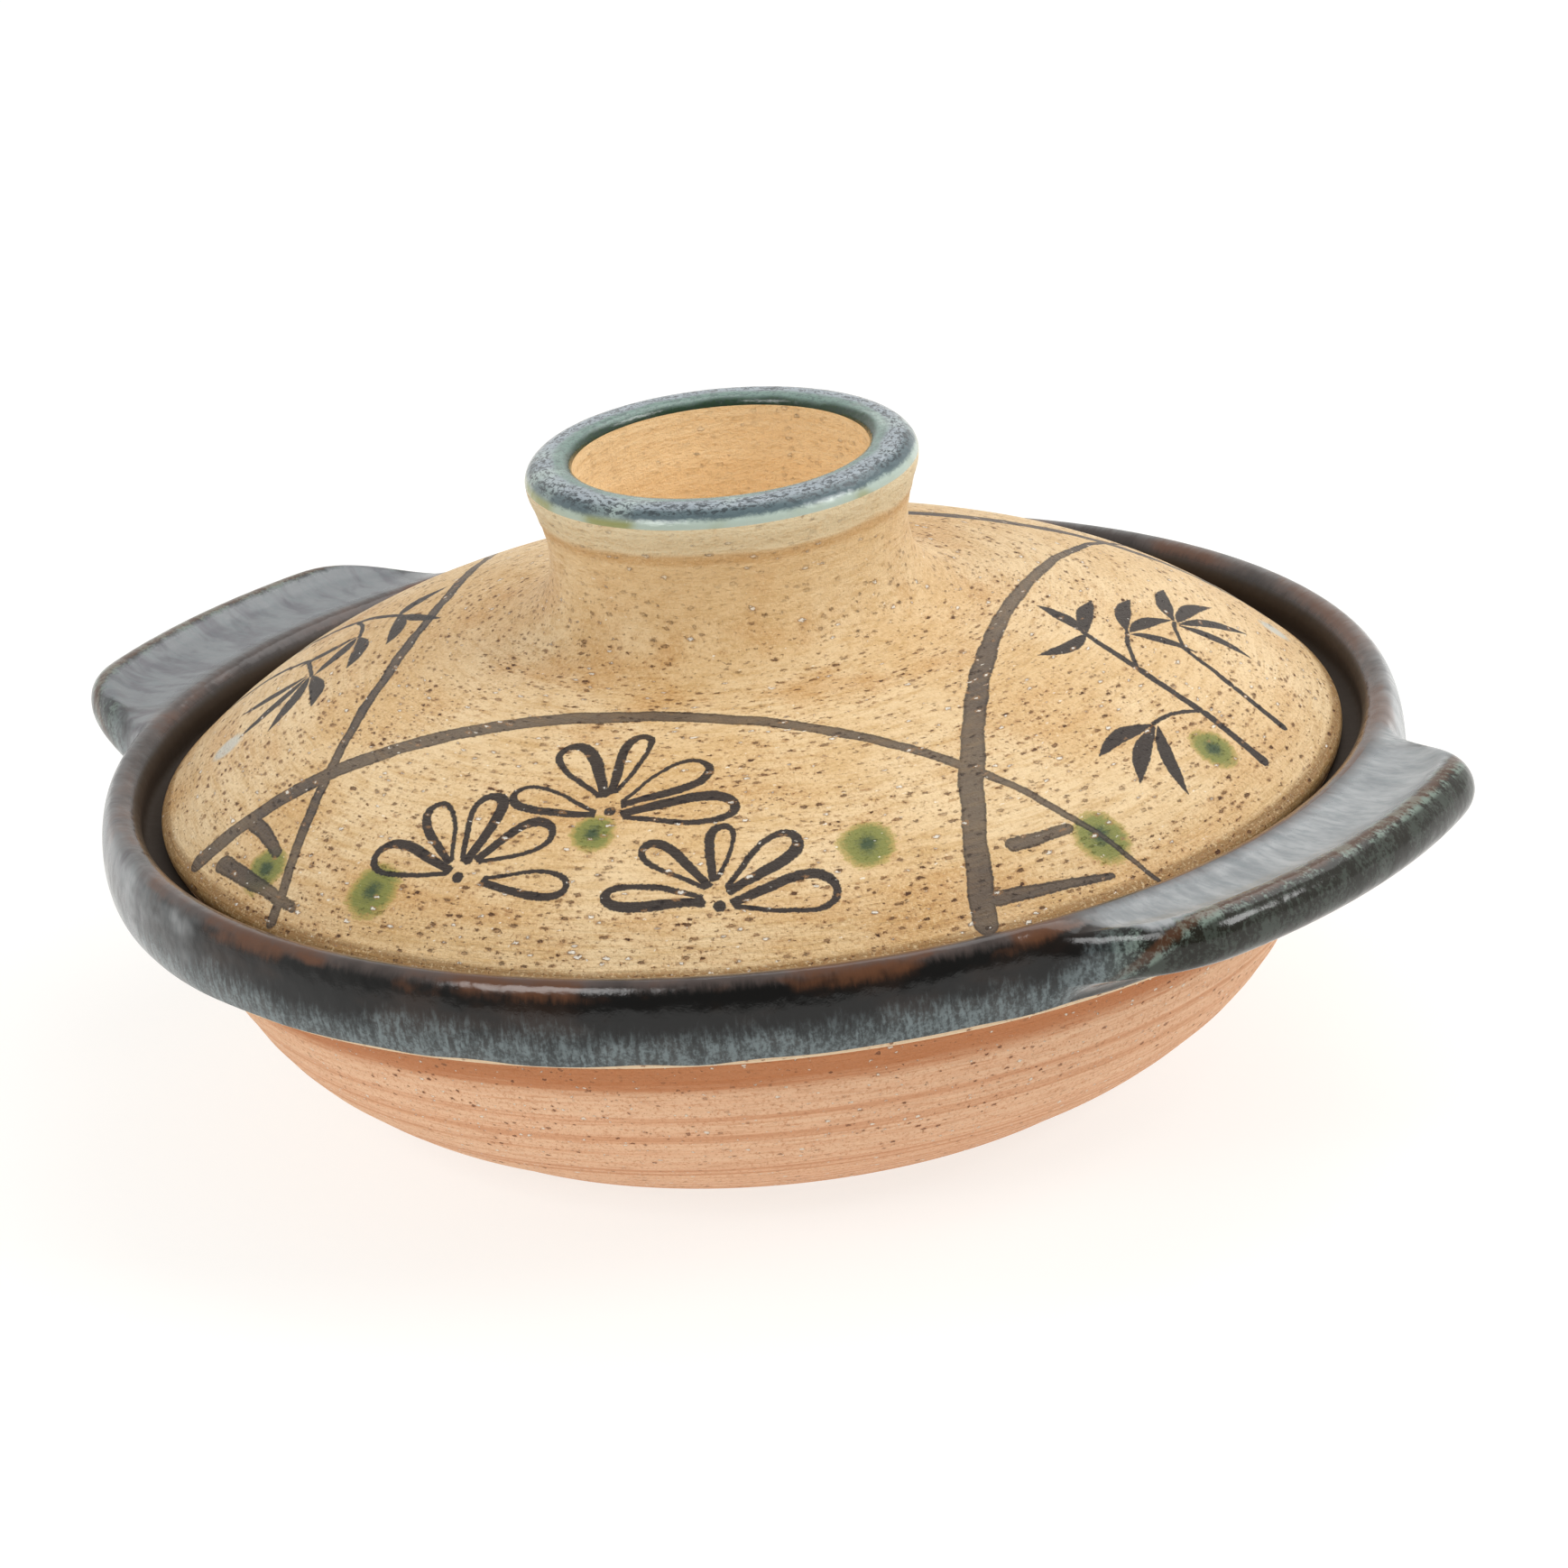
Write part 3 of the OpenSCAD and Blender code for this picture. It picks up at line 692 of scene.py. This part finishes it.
def makeDarkGlaze():
    material, tree, paint, wheel = startMaterial("darkGlaze", darkGlaze)
    arc, place, wound = wheel["Arc"], wheel["Place"], wheel["Wound"]
    grown = put(tree, "Attribute", attribute_name="lug", attribute_type="GEOMETRY").outputs["Fac"]
    onLug = fade(tree, grown, 0.25, 0.7)
    offLug = minus(tree, 1.0, onLug)
    way = vec(tree, "NORMALIZE", vec(tree, "MULTIPLY", place, (1, 1, 0)))
    hair = cloud(tree, wound, 1.0, 4.0, 0.62, 0.3, (1.0, 1.0, 0.3))
    grain = cloud(tree, place, 1.5, 3.0, 0.7)
    patch = cloud(tree, wound, 1.0, 3.0, 0.6, stretch=(0.05, 0.05, 0.1))
    ragged = wobble(tree, arc, hair, 2.5)

    # thin and mauve over the crest, breaking to rust where it turns down
    crest = times(tree, zone(tree, ragged, darkGlaze["crest"]), fade(tree, onLug, 0.0, 1.0, 1.0, 0.4),
                  fade(tree, patch, 0.3, 0.55, 0.35, 0.8))
    thin = tint(tree, fade(tree, patch, 0.44, 0.62, 0.0, 0.8), paint["mauve"], paint["rust"])
    edge = times(tree, zone(tree, ragged, darkGlaze["turnDown"]), fade(tree, patch, 0.46, 0.6, 0.0, 0.75),
                 offLug)

    # frost in broken hairs low on the face
    wander = wobble(tree, wobble(tree, arc, patch, 9.0), hair, 7.0)
    run = times(tree, fade(tree, wander, 7.0, 14.0), fade(tree, arc, 20.3, 19.2, 0.2, 1.0))
    hairs = summed(tree, (hair, 0.5), (grain, 0.5))
    drift = cloud(tree, wound, 0.22, 3.0, 0.6, stretch=(1.0, 1.0, 0.6))
    flecks = summed(tree, (hair, 0.25), (grain, 0.35), (drift, 0.4))
    broken = summed(tree, (fade(tree, hairs, 0.42, 0.6), offLug), (fade(tree, flecks, 0.47, 0.57), onLug))
    frost = tint(tree, onLug, paint["frost"], paint["paleGreen"])
    veil = times(tree, run, timesPlus(tree, broken, 0.55, fade(tree, onLug, 0.0, 1.0, 0.25, 0.0)))

    # milky pools over the lugs, and on the rim away from the front, where the paleness is partly painted
    # reflection of the bright room seen at a grazing angle; the left lug's are duskier
    swirl = cloud(tree, wound, 0.26, 3.0, 0.6, 0.4, (1.0, 1.0, 0.4))
    front = vec(tree, "DOT_PRODUCT", way, (0.644, -0.765, 0))
    left = fade(tree, vec(tree, "DOT_PRODUCT", way, (-1, 0, 0)), 0.1, 0.7)
    dusky = tint(tree, fade(tree, swirl, 0.34, 0.56), paint["dusk"], paint["duskLight"])
    milk = layered(
        tree, paint, "milkShade",
        ("milk", swirl, 0.3, 0.68),
        (dusky, times(tree, left, 0.85)),
        ("frost", hair, 0.45, 0.65, 0.0, 0.42),
        ("lugShade", times(tree, onLug, 0.45)))
    turned, reach = wobble(tree, front, patch, 0.9), wobble(tree, ragged, patch, 34.0)
    # painted reflection over milky glaze: the rim's top pales where it turns away from the camera
    poolAndSheen = times(tree, fade(tree, turned, 0.55, 0.1, 0.0, 0.75), fade(tree, reach, 14.0, 6.0, 0.06, 1.0))
    inner = minus(tree, ragged, fade(tree, grown, 0.3, 0.85, 3.5, 17.0))  # widens as the lug grows
    lugPool = times(tree, fade(tree, inner, 1.2, -1.4, 0.0, 0.95), onLug)
    milky = times(tree, zone(tree, ragged, darkGlaze["top"]), calc(tree, "MAXIMUM", lugPool, poolAndSheen))

    colour = layered(
        tree, paint, "black",
        ("brown", patch, 0.45, 0.68, 0.0, 0.8),
        ("olive", times(tree, onLug, fade(tree, arc, 12.0, 17.0, 0.0, 0.8))),
        (thin, crest),
        ("rust", edge),
        ("recess", ragged, -2.5, -5.0, 0.0, 0.9),
        (frost, veil),
        (milk, milky),
        ("rust", times(tree, zone(tree, ragged, darkGlaze["lugLip"]), onLug, 0.5)))
    rough = timesPlus(tree, milky, 0.16,
                      fade(tree, arc, -2.5, -5.0, darkGlaze["gloss"], darkGlaze["recessGloss"]))
    height = summed(tree, (cloud(tree, place, 0.16, 2.0), 0.35), (grain, 0.03))
    return finishMaterial(material, colour, rough, darkGlaze["shine"], height)


greenGlaze = {
    "tones": {
        "aqua": (178, 194, 186),
        "slate": (86, 103, 108),
        "lavender": (152, 162, 170),
        "sage": (112, 136, 128),
        "dark": (38, 46, 52),
        "deep": (38, 62, 44),
        "olive": (142, 142, 66),
    },
    "core": 30.0,
    "gloss": 0.09,
    "shine": 0.5,
}


def makeGreenGlaze():
    material, tree, paint, wheel = startMaterial("greenGlaze", greenGlaze)
    arc, place, wound = wheel["Arc"], wheel["Place"], wheel["Wound"]
    broad = cloud(tree, place, 0.07, 2.0)
    curds = cloud(tree, wound, 1.0, 4.0, 0.72, 0.5, (0.9, 0.9, 1.5))
    # share runs from 0 at the lower edge outside, over the crest, to 1 at the edge inside the mouth
    share = calc(tree, "DIVIDE", wobble(tree, wobble(tree, arc, broad, 4.0), curds, 1.6), coatLength)
    spotty = times(tree, fade(tree, share, 0.12, 0.26), fade(tree, share, 0.66, 0.54, 0.45, 1.0),
                   fade(tree, curds, 0.53, 0.43, 0.0, 0.85))
    colour = layered(
        tree, paint, "aqua",
        ("slate", share, 0.06, 0.16),
        ("lavender", share, 0.28, 0.42, 0.0, 0.9),
        ("sage", share, 0.58, 0.7),
        ("deep", share, 0.78, 0.9),
        ("aqua", times(tree, fade(tree, broad, 0.5, 0.66, 0.0, 0.7), fade(tree, share, 0.86, 0.72))),
        ("dark", spotty),
        ("olive", times(tree, fade(tree, arc, 1.9, 0.5), fade(tree, broad, 0.42, 0.58, 0.1, 0.85))))
    height = summed(tree, (cloud(tree, place, 0.3, 2.0), 0.25), (curds, 0.06))
    return finishMaterial(material, colour, greenGlaze["gloss"], greenGlaze["shine"], height)


innerGlaze = {
    "tones": {"brown": (58, 36, 26), "rust": (104, 64, 40), "dot": (20, 14, 12)},
    "core": 18.0,
    "dots": {"Spacing": 1.8, "Share": 0.3, "Size": 0.3, "Grains": 0.0},
    "gloss": 0.12,
    "shine": 0.5,
}


def makeInnerGlaze():
    material, tree, paint, wheel = startMaterial("innerGlaze", innerGlaze)
    streak = cloud(tree, wheel["Wound"], 0.35, 4.0, 0.6)
    dots = use(tree, specks, {"Place": wheel["Place"], **innerGlaze["dots"]})
    colour = layered(
        tree, paint, "brown",
        ("rust", streak, 0.32, 0.8),
        ("dot", times(tree, dots["Pit"], 0.6)))
    rough = timesPlus(tree, streak, 0.1, innerGlaze["gloss"])
    return finishMaterial(material, colour, rough, innerGlaze["shine"], times(tree, streak, 0.12))


# outlines, in millimetres: across from the pot's axis, and up from the table
pot = {
    "rimRadius": 110.4,
    "rimWidth": 7.0,
    "crest": 58.0,
    "shoulder": 4.0,  # radius of the rim's inner shoulder
    "belly": 8.9,  # from the crest down to the rim's widest line
    "tuck": 6.8,
    "glazeEnd": -45,  # degrees round the rim from its widest line
    "coat": 0.7,
    "gap": 0.02,
    "wall": 7.0,
    "neckIn": 11.7,
    "neckDrop": 1.5,
    "footRadius": 57.0,
    "footLand": 7.0,
    "footRise": 1.2,
    "footEase": (0.4, 0.3),  # the foot ring's inner corner, across and up
    "footEdge": 0.5,
    "floor": 6.2,
    "floorSwell": 5.0,
    "ledge": 50.6,
    "ledgeRadius": 92.9,
    "ledgeRound": 0.7,
    "ledgeSteps": (101, 99, 97, 95),
    "ledgeEdge": 0.3,
    "innerCoat": 0.6,
    "ridges": (0.16, 3.4, 2.0),  # depth, pitch and seed of the throwing ridges
    "innerRidges": (0.1, 5.0, 9.0),
    "coatTail": [(99.1, 0.03), (99.2, 0.14), (99.5, 0.22)],  # where the rim's coat runs out on the ledge
    "coatRise": 0.22,
    "coatFillet": 1.2,
    "bead": [(1.6, 0.1), (2.6, 0.38), (3.0, 0.7)],  # degrees past the glaze's end, and depth
    "hang": 0.55,  # how unevenly the coat's lower edge hangs
    "hangPitch": 9,
    "wheelRound": 256,  # steps round the pot
}
lid = {
    "radius": 100.0,
    "seat": 93.5,
    "edgeLine": 54.0,
    "edgeRound": 2.0,
    "rise": 28.0,
    "wall": 5.5,
    "fullness": 3.47,
    "steamRadius": 66.0,
    "steamTurn": 130.0,
    "steamWidth": 8.0,
    "ridges": (0.07, 4.0, 6.0),
    "wheelRound": 256,
}
knob = {
    "foot": 80.44,  # height at which the knob stands on the dome
    "flare": 46.5,  # radius at which its foot dies into the dome
    "waist": 30.2,
    "waistRise": 13.2,
    "rollRadius": 28.95,
    "rollHeight": 105.44,
    "rollAcross": 4.05,
    "rollUp": 3.6,
    "square": 4.0,
    "coatOut": 5,  # degrees above the widest line
    "coatIn": 164,
    "mouth": 24.9,
    "coat": 0.7,
    "floorSteps": (0, 5, 10, 14, 18, 21),
    "mouthRidges": (0.18, 3.0, 5.0),
    "neckRidges": (0.14, 2.6, 3.0),
    "wheelRound": 224,
}
lug = {
    "reach": 128.4,
    "edge": 9.1,
    "roll": 4.2,
    "lift": 1.7,
    "rollFrom": 125,  # degrees round the rolled edge, from its outermost line
    "rollTo": -75,
    "dish": 0.8,
    "fade": 26.5,
    "fullness": 1.25,
    "rightFlat": 62.0,
    "leftFlat": 49.0,
    "wheelRound": 480,
}

crestRadius = pot["rimRadius"] - pot["rimWidth"] + pot["shoulder"]
recessRadius = pot["rimRadius"] - pot["rimWidth"]
bellyHeight = pot["crest"] - pot["belly"]
neckRadius = pot["rimRadius"] - pot["neckIn"]
sharpTurn = radians(40)  # edges that turn more than this are shaded as sharp


def mix(a, b, share):
    return a + (b - a) * share


def bezier(a, b, c, d, count, first=0):
    points = []
    for i in range(first, count + 1):
        t = i / count
        weights = ((1 - t) ** 3, 3 * t * (1 - t) ** 2, 3 * t * t * (1 - t), t ** 3)
        points.append(tuple(sum(w * p[side] for w, p in zip(weights, (a, b, c, d))) for side in (0, 1)))
    return points


def smoothRun(keys, steps):  # a smooth line through the keys
    points = []
    for i in range(len(keys) - 1):
        a, b, c, d = (Vector(keys[min(max(k, 0), len(keys) - 1)]) for k in range(i - 1, i + 3))
        for j in range(steps):
            t = j / steps
            points.append(tuple((2 * b + (c - a) * t + (2 * a - 5 * b + 4 * c - d) * t * t
                                 + (3 * b - a - 3 * c + d) * t ** 3) / 2))
    return points + [tuple(keys[-1])]


def shifted(points, away):
    moved = []
    for i, p in enumerate(points):
        way = (Vector(points[min(i + 1, len(points) - 1)]) - Vector(points[max(i - 1, 0)])).normalized()
        moved.append((p[0] - way.y * away, p[1] + way.x * away))
    return moved


def thrown(points, depth, pitch, seed, ease=4):  # the ridges that fingers leave on the wheel
    ridged, run = [], 0.0
    for i, p in enumerate(points):
        before, after = Vector(points[max(i - 1, 0)]), Vector(points[min(i + 1, len(points) - 1)])
        run += (Vector(p) - before).length
        way = (after - before).normalized()
        hold = min(1.0, i / ease, (len(points) - 1 - i) / ease)
        wave = noise.noise((run / pitch, seed, 0.3)) + 0.5 * noise.noise((run / pitch * 2.3, seed, 7.1))
        ridged.append((p[0] - way.y * wave * depth * hold, p[1] + way.x * wave * depth * hold))
    return ridged


def rimPoint(turn, depth=0.0):  # 180 is the recess wall, 90 the crest, 0 the widest line
    c, s = cos(radians(turn)), sin(radians(turn))
    if turn > 90:
        reach = pot["shoulder"] - depth
        return (crestRadius + reach * c, pot["crest"] - pot["shoulder"] + reach * s)
    up = (pot["belly"] if turn > 0 else pot["tuck"]) - depth
    return (crestRadius + (pot["rimRadius"] - crestRadius - depth) * c, bellyHeight + up * s)


def rimRun(start, end, count, depth=0.0, first=0):
    return [rimPoint(mix(start, end, i / count), depth) for i in range(first, count + 1)]


def dome(r):
    return lid["edgeLine"] + lid["rise"] * (1 - (r / lid["radius"]) ** lid["fullness"])


def knobRoll(turn, depth=0.0):  # 0 is outside, 90 the crest, 180 inside
    c, s = cos(radians(turn)), sin(radians(turn))
    power = 2 / knob["square"] if turn > 90 else 1
    across = (knob["rollAcross"] - depth) * (1 if c > 0 else -1) * abs(c) ** power
    return (knob["rollRadius"] + across, knob["rollHeight"] + (knob["rollUp"] - depth) * s ** power)


def knobRun(start, end, count, depth=0.0):
    return [knobRoll(mix(start, end, i / count), depth) for i in range(count + 1)]


def lengthsOf(points):
    runs = [0.0]
    for a, b in zip(points, points[1:]):
        runs.append(runs[-1] + hypot(b[0] - a[0], b[1] - a[1]))
    return runs


def bend(middle, across, up, turns):  # points round a corner's middle
    return [(middle[0] + across * cos(radians(a)), middle[1] + up * sin(radians(a))) for a in turns]


def turnOnWheel(outline, steps, arcStart=0.0, closed=False):
    bm = bmesh.new()
    arc = bm.verts.layers.float.new("arc")
    station = bm.verts.layers.int.new("station")
    section = []
    for i, ((r, z), run) in enumerate(zip(outline, lengthsOf(outline))):
        v = bm.verts.new((r, 0, z))
        v[arc] = arcStart + run
        v[station] = i
        section.append(v)
    lines = [bm.edges.new(pair) for pair in zip(section, section[1:])]
    if closed:
        lines.append(bm.edges.new((section[-1], section[0])))
    # a sixteenth of the turn is spun, then doubled four times, which is far quicker than one full spin
    sector = 2 * pi / 16
    bmesh.ops.spin(bm, geom=section + lines, cent=(0, 0, 0), axis=(0, 0, 1), angle=sector, steps=steps // 16)
    for count in (1, 2, 4, 8):
        copy = bmesh.ops.duplicate(bm, geom=bm.verts[:] + bm.edges[:] + bm.faces[:])["geom"]
        bmesh.ops.rotate(bm, cent=(0, 0, 0), matrix=Matrix.Rotation(sector * count, 3, "Z"),
                         verts=[v for v in copy if isinstance(v, bmesh.types.BMVert)])
    bmesh.ops.remove_doubles(bm, verts=bm.verts, dist=1e-4)
    bmesh.ops.recalc_face_normals(bm, faces=bm.faces)
    return bm


def finishPiece(name, bm, material, body, nodes):
    bmesh.ops.scale(bm, vec=(0.001, 0.001, 0.001), verts=bm.verts)
    for face in bm.faces:
        face.smooth = True
    mesh = bpy.data.meshes.new(name)
    bm.to_mesh(mesh)
    bm.free()
    mesh.set_sharp_from_angle(angle=sharpTurn)
    mesh.materials.append(material)
    piece = bpy.data.objects.new(name, mesh)
    bpy.context.scene.collection.objects.link(piece)
    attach(piece, body)
    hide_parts(*nodes)
    print(name, "has", len(mesh.polygons), "faces")
    return piece


# the bowl
wallShares = [(0, 0), (0.17, 0.056), (0.46, 0.22), (0.6, 0.33), (0.72, 0.455), (0.82, 0.61), (0.905, 0.77),
              (1, 1)]
floorShares = [(0, 0), (0.25, 0.01), (0.5, 0.06), (0.78, 0.19)]
lipPoint = rimPoint(-90, pot["coat"] + pot["gap"])
neckHeight = lipPoint[1] - pot["neckDrop"]
wallKeys = [(mix(pot["footRadius"], neckRadius, x), neckHeight * y) for x, y in wallShares]
floorKeys = [(pot["footRadius"] * x, pot["floor"] + pot["floorSwell"] * y) for x, y in floorShares]
sideKeys = shifted(wallKeys, pot["wall"])[1:-1]
insideKeys = floorKeys + sideKeys + [(pot["ledgeRadius"], mix(neckHeight, pot["ledge"], 0.5))]


def bowlOutline():
    clayIn = pot["coat"] + pot["gap"]
    footIn = pot["footRadius"] - pot["footLand"]
    easeIn, easeUp = pot["footEase"]
    ledge, ledgeRound, ledgeEdge = pot["ledge"], pot["ledgeRound"], pot["ledgeEdge"]
    outline = [(0, pot["footRise"]), (footIn - pot["footRise"] - easeIn, pot["footRise"]),
               (footIn - easeIn, easeUp), (footIn, 0), (pot["footRadius"] - pot["footEdge"], 0)]
    outline += thrown(smoothRun(wallKeys, 18), *pot["ridges"])
    outline += bezier((neckRadius, neckHeight),
                      (neckRadius + pot["neckDrop"] / 3, mix(neckHeight, lipPoint[1], 2 / 3)),
                      (mix(neckRadius, lipPoint[0], 1 / 3), lipPoint[1]), lipPoint, 12, first=1)
    outline += rimRun(-84, 90, 36, clayIn) + rimRun(90, 180, 10, clayIn, first=1)
    outline += bend((recessRadius + clayIn - ledgeRound, ledge + ledgeRound), ledgeRound, -ledgeRound,
                    range(0, 91, 15))
    outline += [(r, ledge) for r in (*pot["ledgeSteps"], pot["ledgeRadius"] + ledgeEdge)]
    outline += [(pot["ledgeRadius"], ledge - ledgeEdge)]
    return outline + smoothRun(insideKeys, 6)[::-1]


clayOutline = bowlOutline()
neckAt = min(range(len(clayOutline)), key=lambda i: dist(clayOutline[i], (neckRadius, neckHeight)))
clayNeck = lengthsOf(clayOutline)[neckAt]
finishPiece("bowl", turnOnWheel(clayOutline, pot["wheelRound"]), makeBareClay(), "pot", ["pot_bowl"])


# the coat inside the bowl
def innerCoatOutline():
    inside = smoothRun(insideKeys, 8)
    under = shifted(inside, pot["gap"])
    over = thrown(shifted(inside, pot["gap"] + pot["innerCoat"]), *pot["innerRidges"])
    under[0] = (0, under[0][1])
    over[0] = (0, over[0][1])
    return over + under[::-1]


finishPiece("innerCoat", turnOnWheel(innerCoatOutline(), pot["wheelRound"]), makeInnerGlaze(), "pot",
            ["glaze_inside"])


# the coat over the rim and its two lugs
def lugSection():
    top = pot["crest"] + lug["lift"]
    middle = (lug["reach"] - lug["roll"], top - lug["edge"] / 2)
    rollRun = bend(middle, lug["roll"], lug["edge"] / 2,
                   [mix(lug["rollFrom"], lug["rollTo"], i / 36) for i in range(37)])
    seat, inner, outer, line = rimPoint(90), rollRun[0], rollRun[-1], rimPoint(pot["glazeEnd"])
    reach = inner[0] - seat[0]
    section = bezier(seat, (seat[0] + reach / 3, seat[1] - lug["dish"]),
                     (inner[0] - reach * 0.28, inner[1] - reach * 0.18), inner, 22)
    section += rollRun[1:]
    section += bezier(outer, (outer[0] - reach * 0.5, outer[1] - lug["edge"] * 0.2),
                      (mix(pot["rimRadius"], lug["reach"], 0.1), bellyHeight), line, 18, first=1)
    return section


def lugShare(turn, flat):
    half = degrees(asin(flat / 2 / lug["reach"]))
    fadeTurn = degrees(lug["fade"] / pot["rimRadius"])
    past = min(max(abs(turn) - half, 0) / fadeTurn, 1)
    return (1 + cos(pi * past ** lug["fullness"])) / 2


def rimCoatInward():  # from where the coat runs out on the ledge, up the recess wall to the crest
    ledgeCoat, fillet = pot["ledge"] + pot["coatRise"], pot["coatFillet"]
    inward = [(r, pot["ledge"] + up) for r, up in pot["coatTail"]]
    inward += [(mix(inward[-1][0], recessRadius - fillet, i / 4), ledgeCoat) for i in range(1, 5)]
    inward += bend((recessRadius - fillet, ledgeCoat + fillet), fillet, fillet, (-60, -30))
    inward += [(recessRadius, mix(ledgeCoat + fillet, rimPoint(180)[1], i / 4)) for i in range(4)]
    return inward + rimRun(180, 90, 16)[:-1]


def makeRimCoat():
    coat, end = pot["coat"], pot["glazeEnd"]
    inward, full = rimCoatInward(), lugSection()
    seat = rimRun(90, 52, 22) + rimRun(52, -10, 36, first=1) + rimRun(-10, end, 18, first=1)
    bead = [rimPoint(end - turn, depth) for turn, depth in pot["bead"]]
    under = rimRun(end, 90, 14, coat) + rimRun(90, 180, 8, coat, first=1)
    under += [(recessRadius + coat, pot["ledge"] + pot["ledgeRound"] + pot["gap"]),
              (recessRadius, pot["ledge"] + pot["coatTail"][0][1])]
    outline = inward + seat + bead + under
    first, half = len(inward), len(seat) // 2
    bm = turnOnWheel(outline, lug["wheelRound"], closed=True)
    station = bm.verts.layers.int["station"]
    arc = bm.verts.layers.float["arc"]
    share = bm.verts.layers.float.new("lug")
    seatRuns = lengthsOf(outline)
    fullRuns = [seatRuns[first] + run for run in lengthsOf(full)]
    for v in bm.verts:
        angle = atan2(v.co.y, v.co.x)
        turn, c, s = degrees(angle), cos(angle), sin(angle)
        amount = max(lugShare(turn, lug["rightFlat"]), lugShare(180 - abs(turn), lug["leftFlat"]))
        j = v[station] - first
        v[arc] -= seatRuns[first]
        if 0 <= j < len(seat):
            r, z = mix(seat[j][0], full[j][0], amount), mix(seat[j][1], full[j][1], amount)
            v.co = (r * c, r * s, z)
            v[arc] = mix(seatRuns[j + first], fullRuns[j], amount) - seatRuns[first]
            v[share] = amount
        if half < j <= len(seat) + len(bead):
            # the lower edge of the coat hangs a little unevenly
            low = (j - half) / (len(seat) / 2)
            hang = noise.noise((c * pot["hangPitch"], s * pot["hangPitch"], 4.0))
            v.co += Vector((-c * 0.35, -s * 0.35, -0.94)) * hang * pot["hang"] * low * (1 - amount)
    bmesh.ops.recalc_face_normals(bm, faces=bm.faces)
    finishPiece("rimCoat", bm, makeDarkGlaze(), "pot", ["glaze_rim", "lug_left", "lug_right"])


makeRimCoat()


# the lid and its knob, thrown and joined as one body
def knobOutline():  # from the knob's floor, round its roll and down its neck to the dome
    foot, coat = knob["foot"], knob["coat"] + 0.02
    floorCorner = knob["mouth"] + 0.3
    outline = [(r, foot) for r in knob["floorSteps"]]
    outline += bezier((22.5, foot), (24.5, foot + 0.1), (floorCorner, foot + 1), (floorCorner, foot + 3), 8)
    high = knobRoll(knob["coatIn"])
    inside = bezier((floorCorner, foot + 3), (knob["mouth"], foot + knob["waistRise"]),
                    (high[0], high[1] - knob["rollUp"]), high, 34, first=1)
    outline += thrown(inside, *knob["mouthRidges"])
    outline += knobRun(knob["coatIn"], knob["coatOut"], 22, coat)
    low = knobRoll(knob["coatOut"])
    waist = (knob["waist"], foot + knob["waistRise"])
    rise = low[1] - waist[1]
    neck = bezier(low, (low[0], low[1] - rise / 5), (waist[0], waist[1] + rise * 2 / 5), waist, 26)
    neck += bezier(waist, (waist[0], foot + knob["waistRise"] / 3), (34.0, foot + 0.5),
                   (knob["flare"], dome(knob["flare"])), 34, first=1)
    return outline + thrown(neck, *knob["neckRidges"])


def lidOutline():
    edgeRound, seat, ledge = lid["edgeRound"], lid["seat"], pot["ledge"]
    joinRadius = lid["radius"] - edgeRound * (1 - cos(radians(45)))
    roundHeight = dome(joinRadius) - edgeRound * sin(radians(45))
    edgeIn = (lid["radius"] - edgeRound, roundHeight)
    radii = [mix(knob["flare"], joinRadius, i / 120) for i in range(1, 121)]
    outline = knobOutline() + thrown([(r, dome(r)) for r in radii], *lid["ridges"])
    outline += bend(edgeIn, edgeRound, edgeRound, (36, 27, 18, 9, 0))
    outline += bend(edgeIn, edgeRound, ledge - roundHeight, range(10, 91, 10))
    innerRise = lid["rise"] + lid["edgeLine"] - ledge - lid["wall"]
    radii = [mix(seat, 0, i / 44) for i in range(45)]
    return outline + [(r, ledge + innerRise * (1 - (r / seat) ** lid["fullness"])) for r in radii]


def domeArc(r, steps=200):  # length along the dome from its axis
    return lengthsOf([(r * i / steps, dome(r * i / steps)) for i in range(steps + 1)])[-1]


def makeSteamCutter():
    cut = bmesh.new()
    radius, way = lid["steamWidth"] / 2000, radians(lid["steamTurn"])
    bmesh.ops.create_cone(cut, cap_ends=True, segments=48, radius1=radius, radius2=radius, depth=0.06)
    bmesh.ops.translate(cut, verts=cut.verts, vec=(lid["steamRadius"] * cos(way) / 1000,
                                                   lid["steamRadius"] * sin(way) / 1000, 0.075))
    mesh = bpy.data.meshes.new("steamCutter")
    cut.to_mesh(mesh)
    cut.free()
    cutter = bpy.data.objects.new("steamCutter", mesh)
    bpy.context.scene.collection.objects.link(cutter)
    return cutter


def makeLid():
    outline = lidOutline()
    join = next(i for i, (r, z) in enumerate(outline) if r > 60 and z > dome(60) - 20)
    start = domeArc(outline[join][0]) - lengthsOf(outline)[join]
    bm = turnOnWheel(outline, lid["wheelRound"], arcStart=start)
    piece = finishPiece("lid", bm, makeLidGlaze(), "lid", ["lid_dome", "lid_knob"])
    # the steam hole is cut after throwing
    cutter = makeSteamCutter()
    hole = piece.modifiers.new("steamHole", "BOOLEAN")
    hole.operation = "DIFFERENCE"
    hole.solver = "FAST"
    hole.object = cutter
    bpy.context.view_layer.update()
    done = bpy.data.meshes.new_from_object(piece.evaluated_get(bpy.context.evaluated_depsgraph_get()))
    piece.modifiers.clear()
    piece.data = done
    bpy.data.objects.remove(cutter)
    done.set_sharp_from_angle(angle=sharpTurn)


makeLid()

# the green coat round the knob
coatOutline = knobRun(knob["coatOut"], knob["coatIn"], 60)
coatLength = lengthsOf(coatOutline)[-1]
coatOutline += knobRun(knob["coatIn"], knob["coatOut"], 30, knob["coat"])
finishPiece("knobCoat", turnOnWheel(coatOutline, knob["wheelRound"], closed=True), makeGreenGlaze(), "lid",
            ["glaze_knob"])
print("pieces are made")
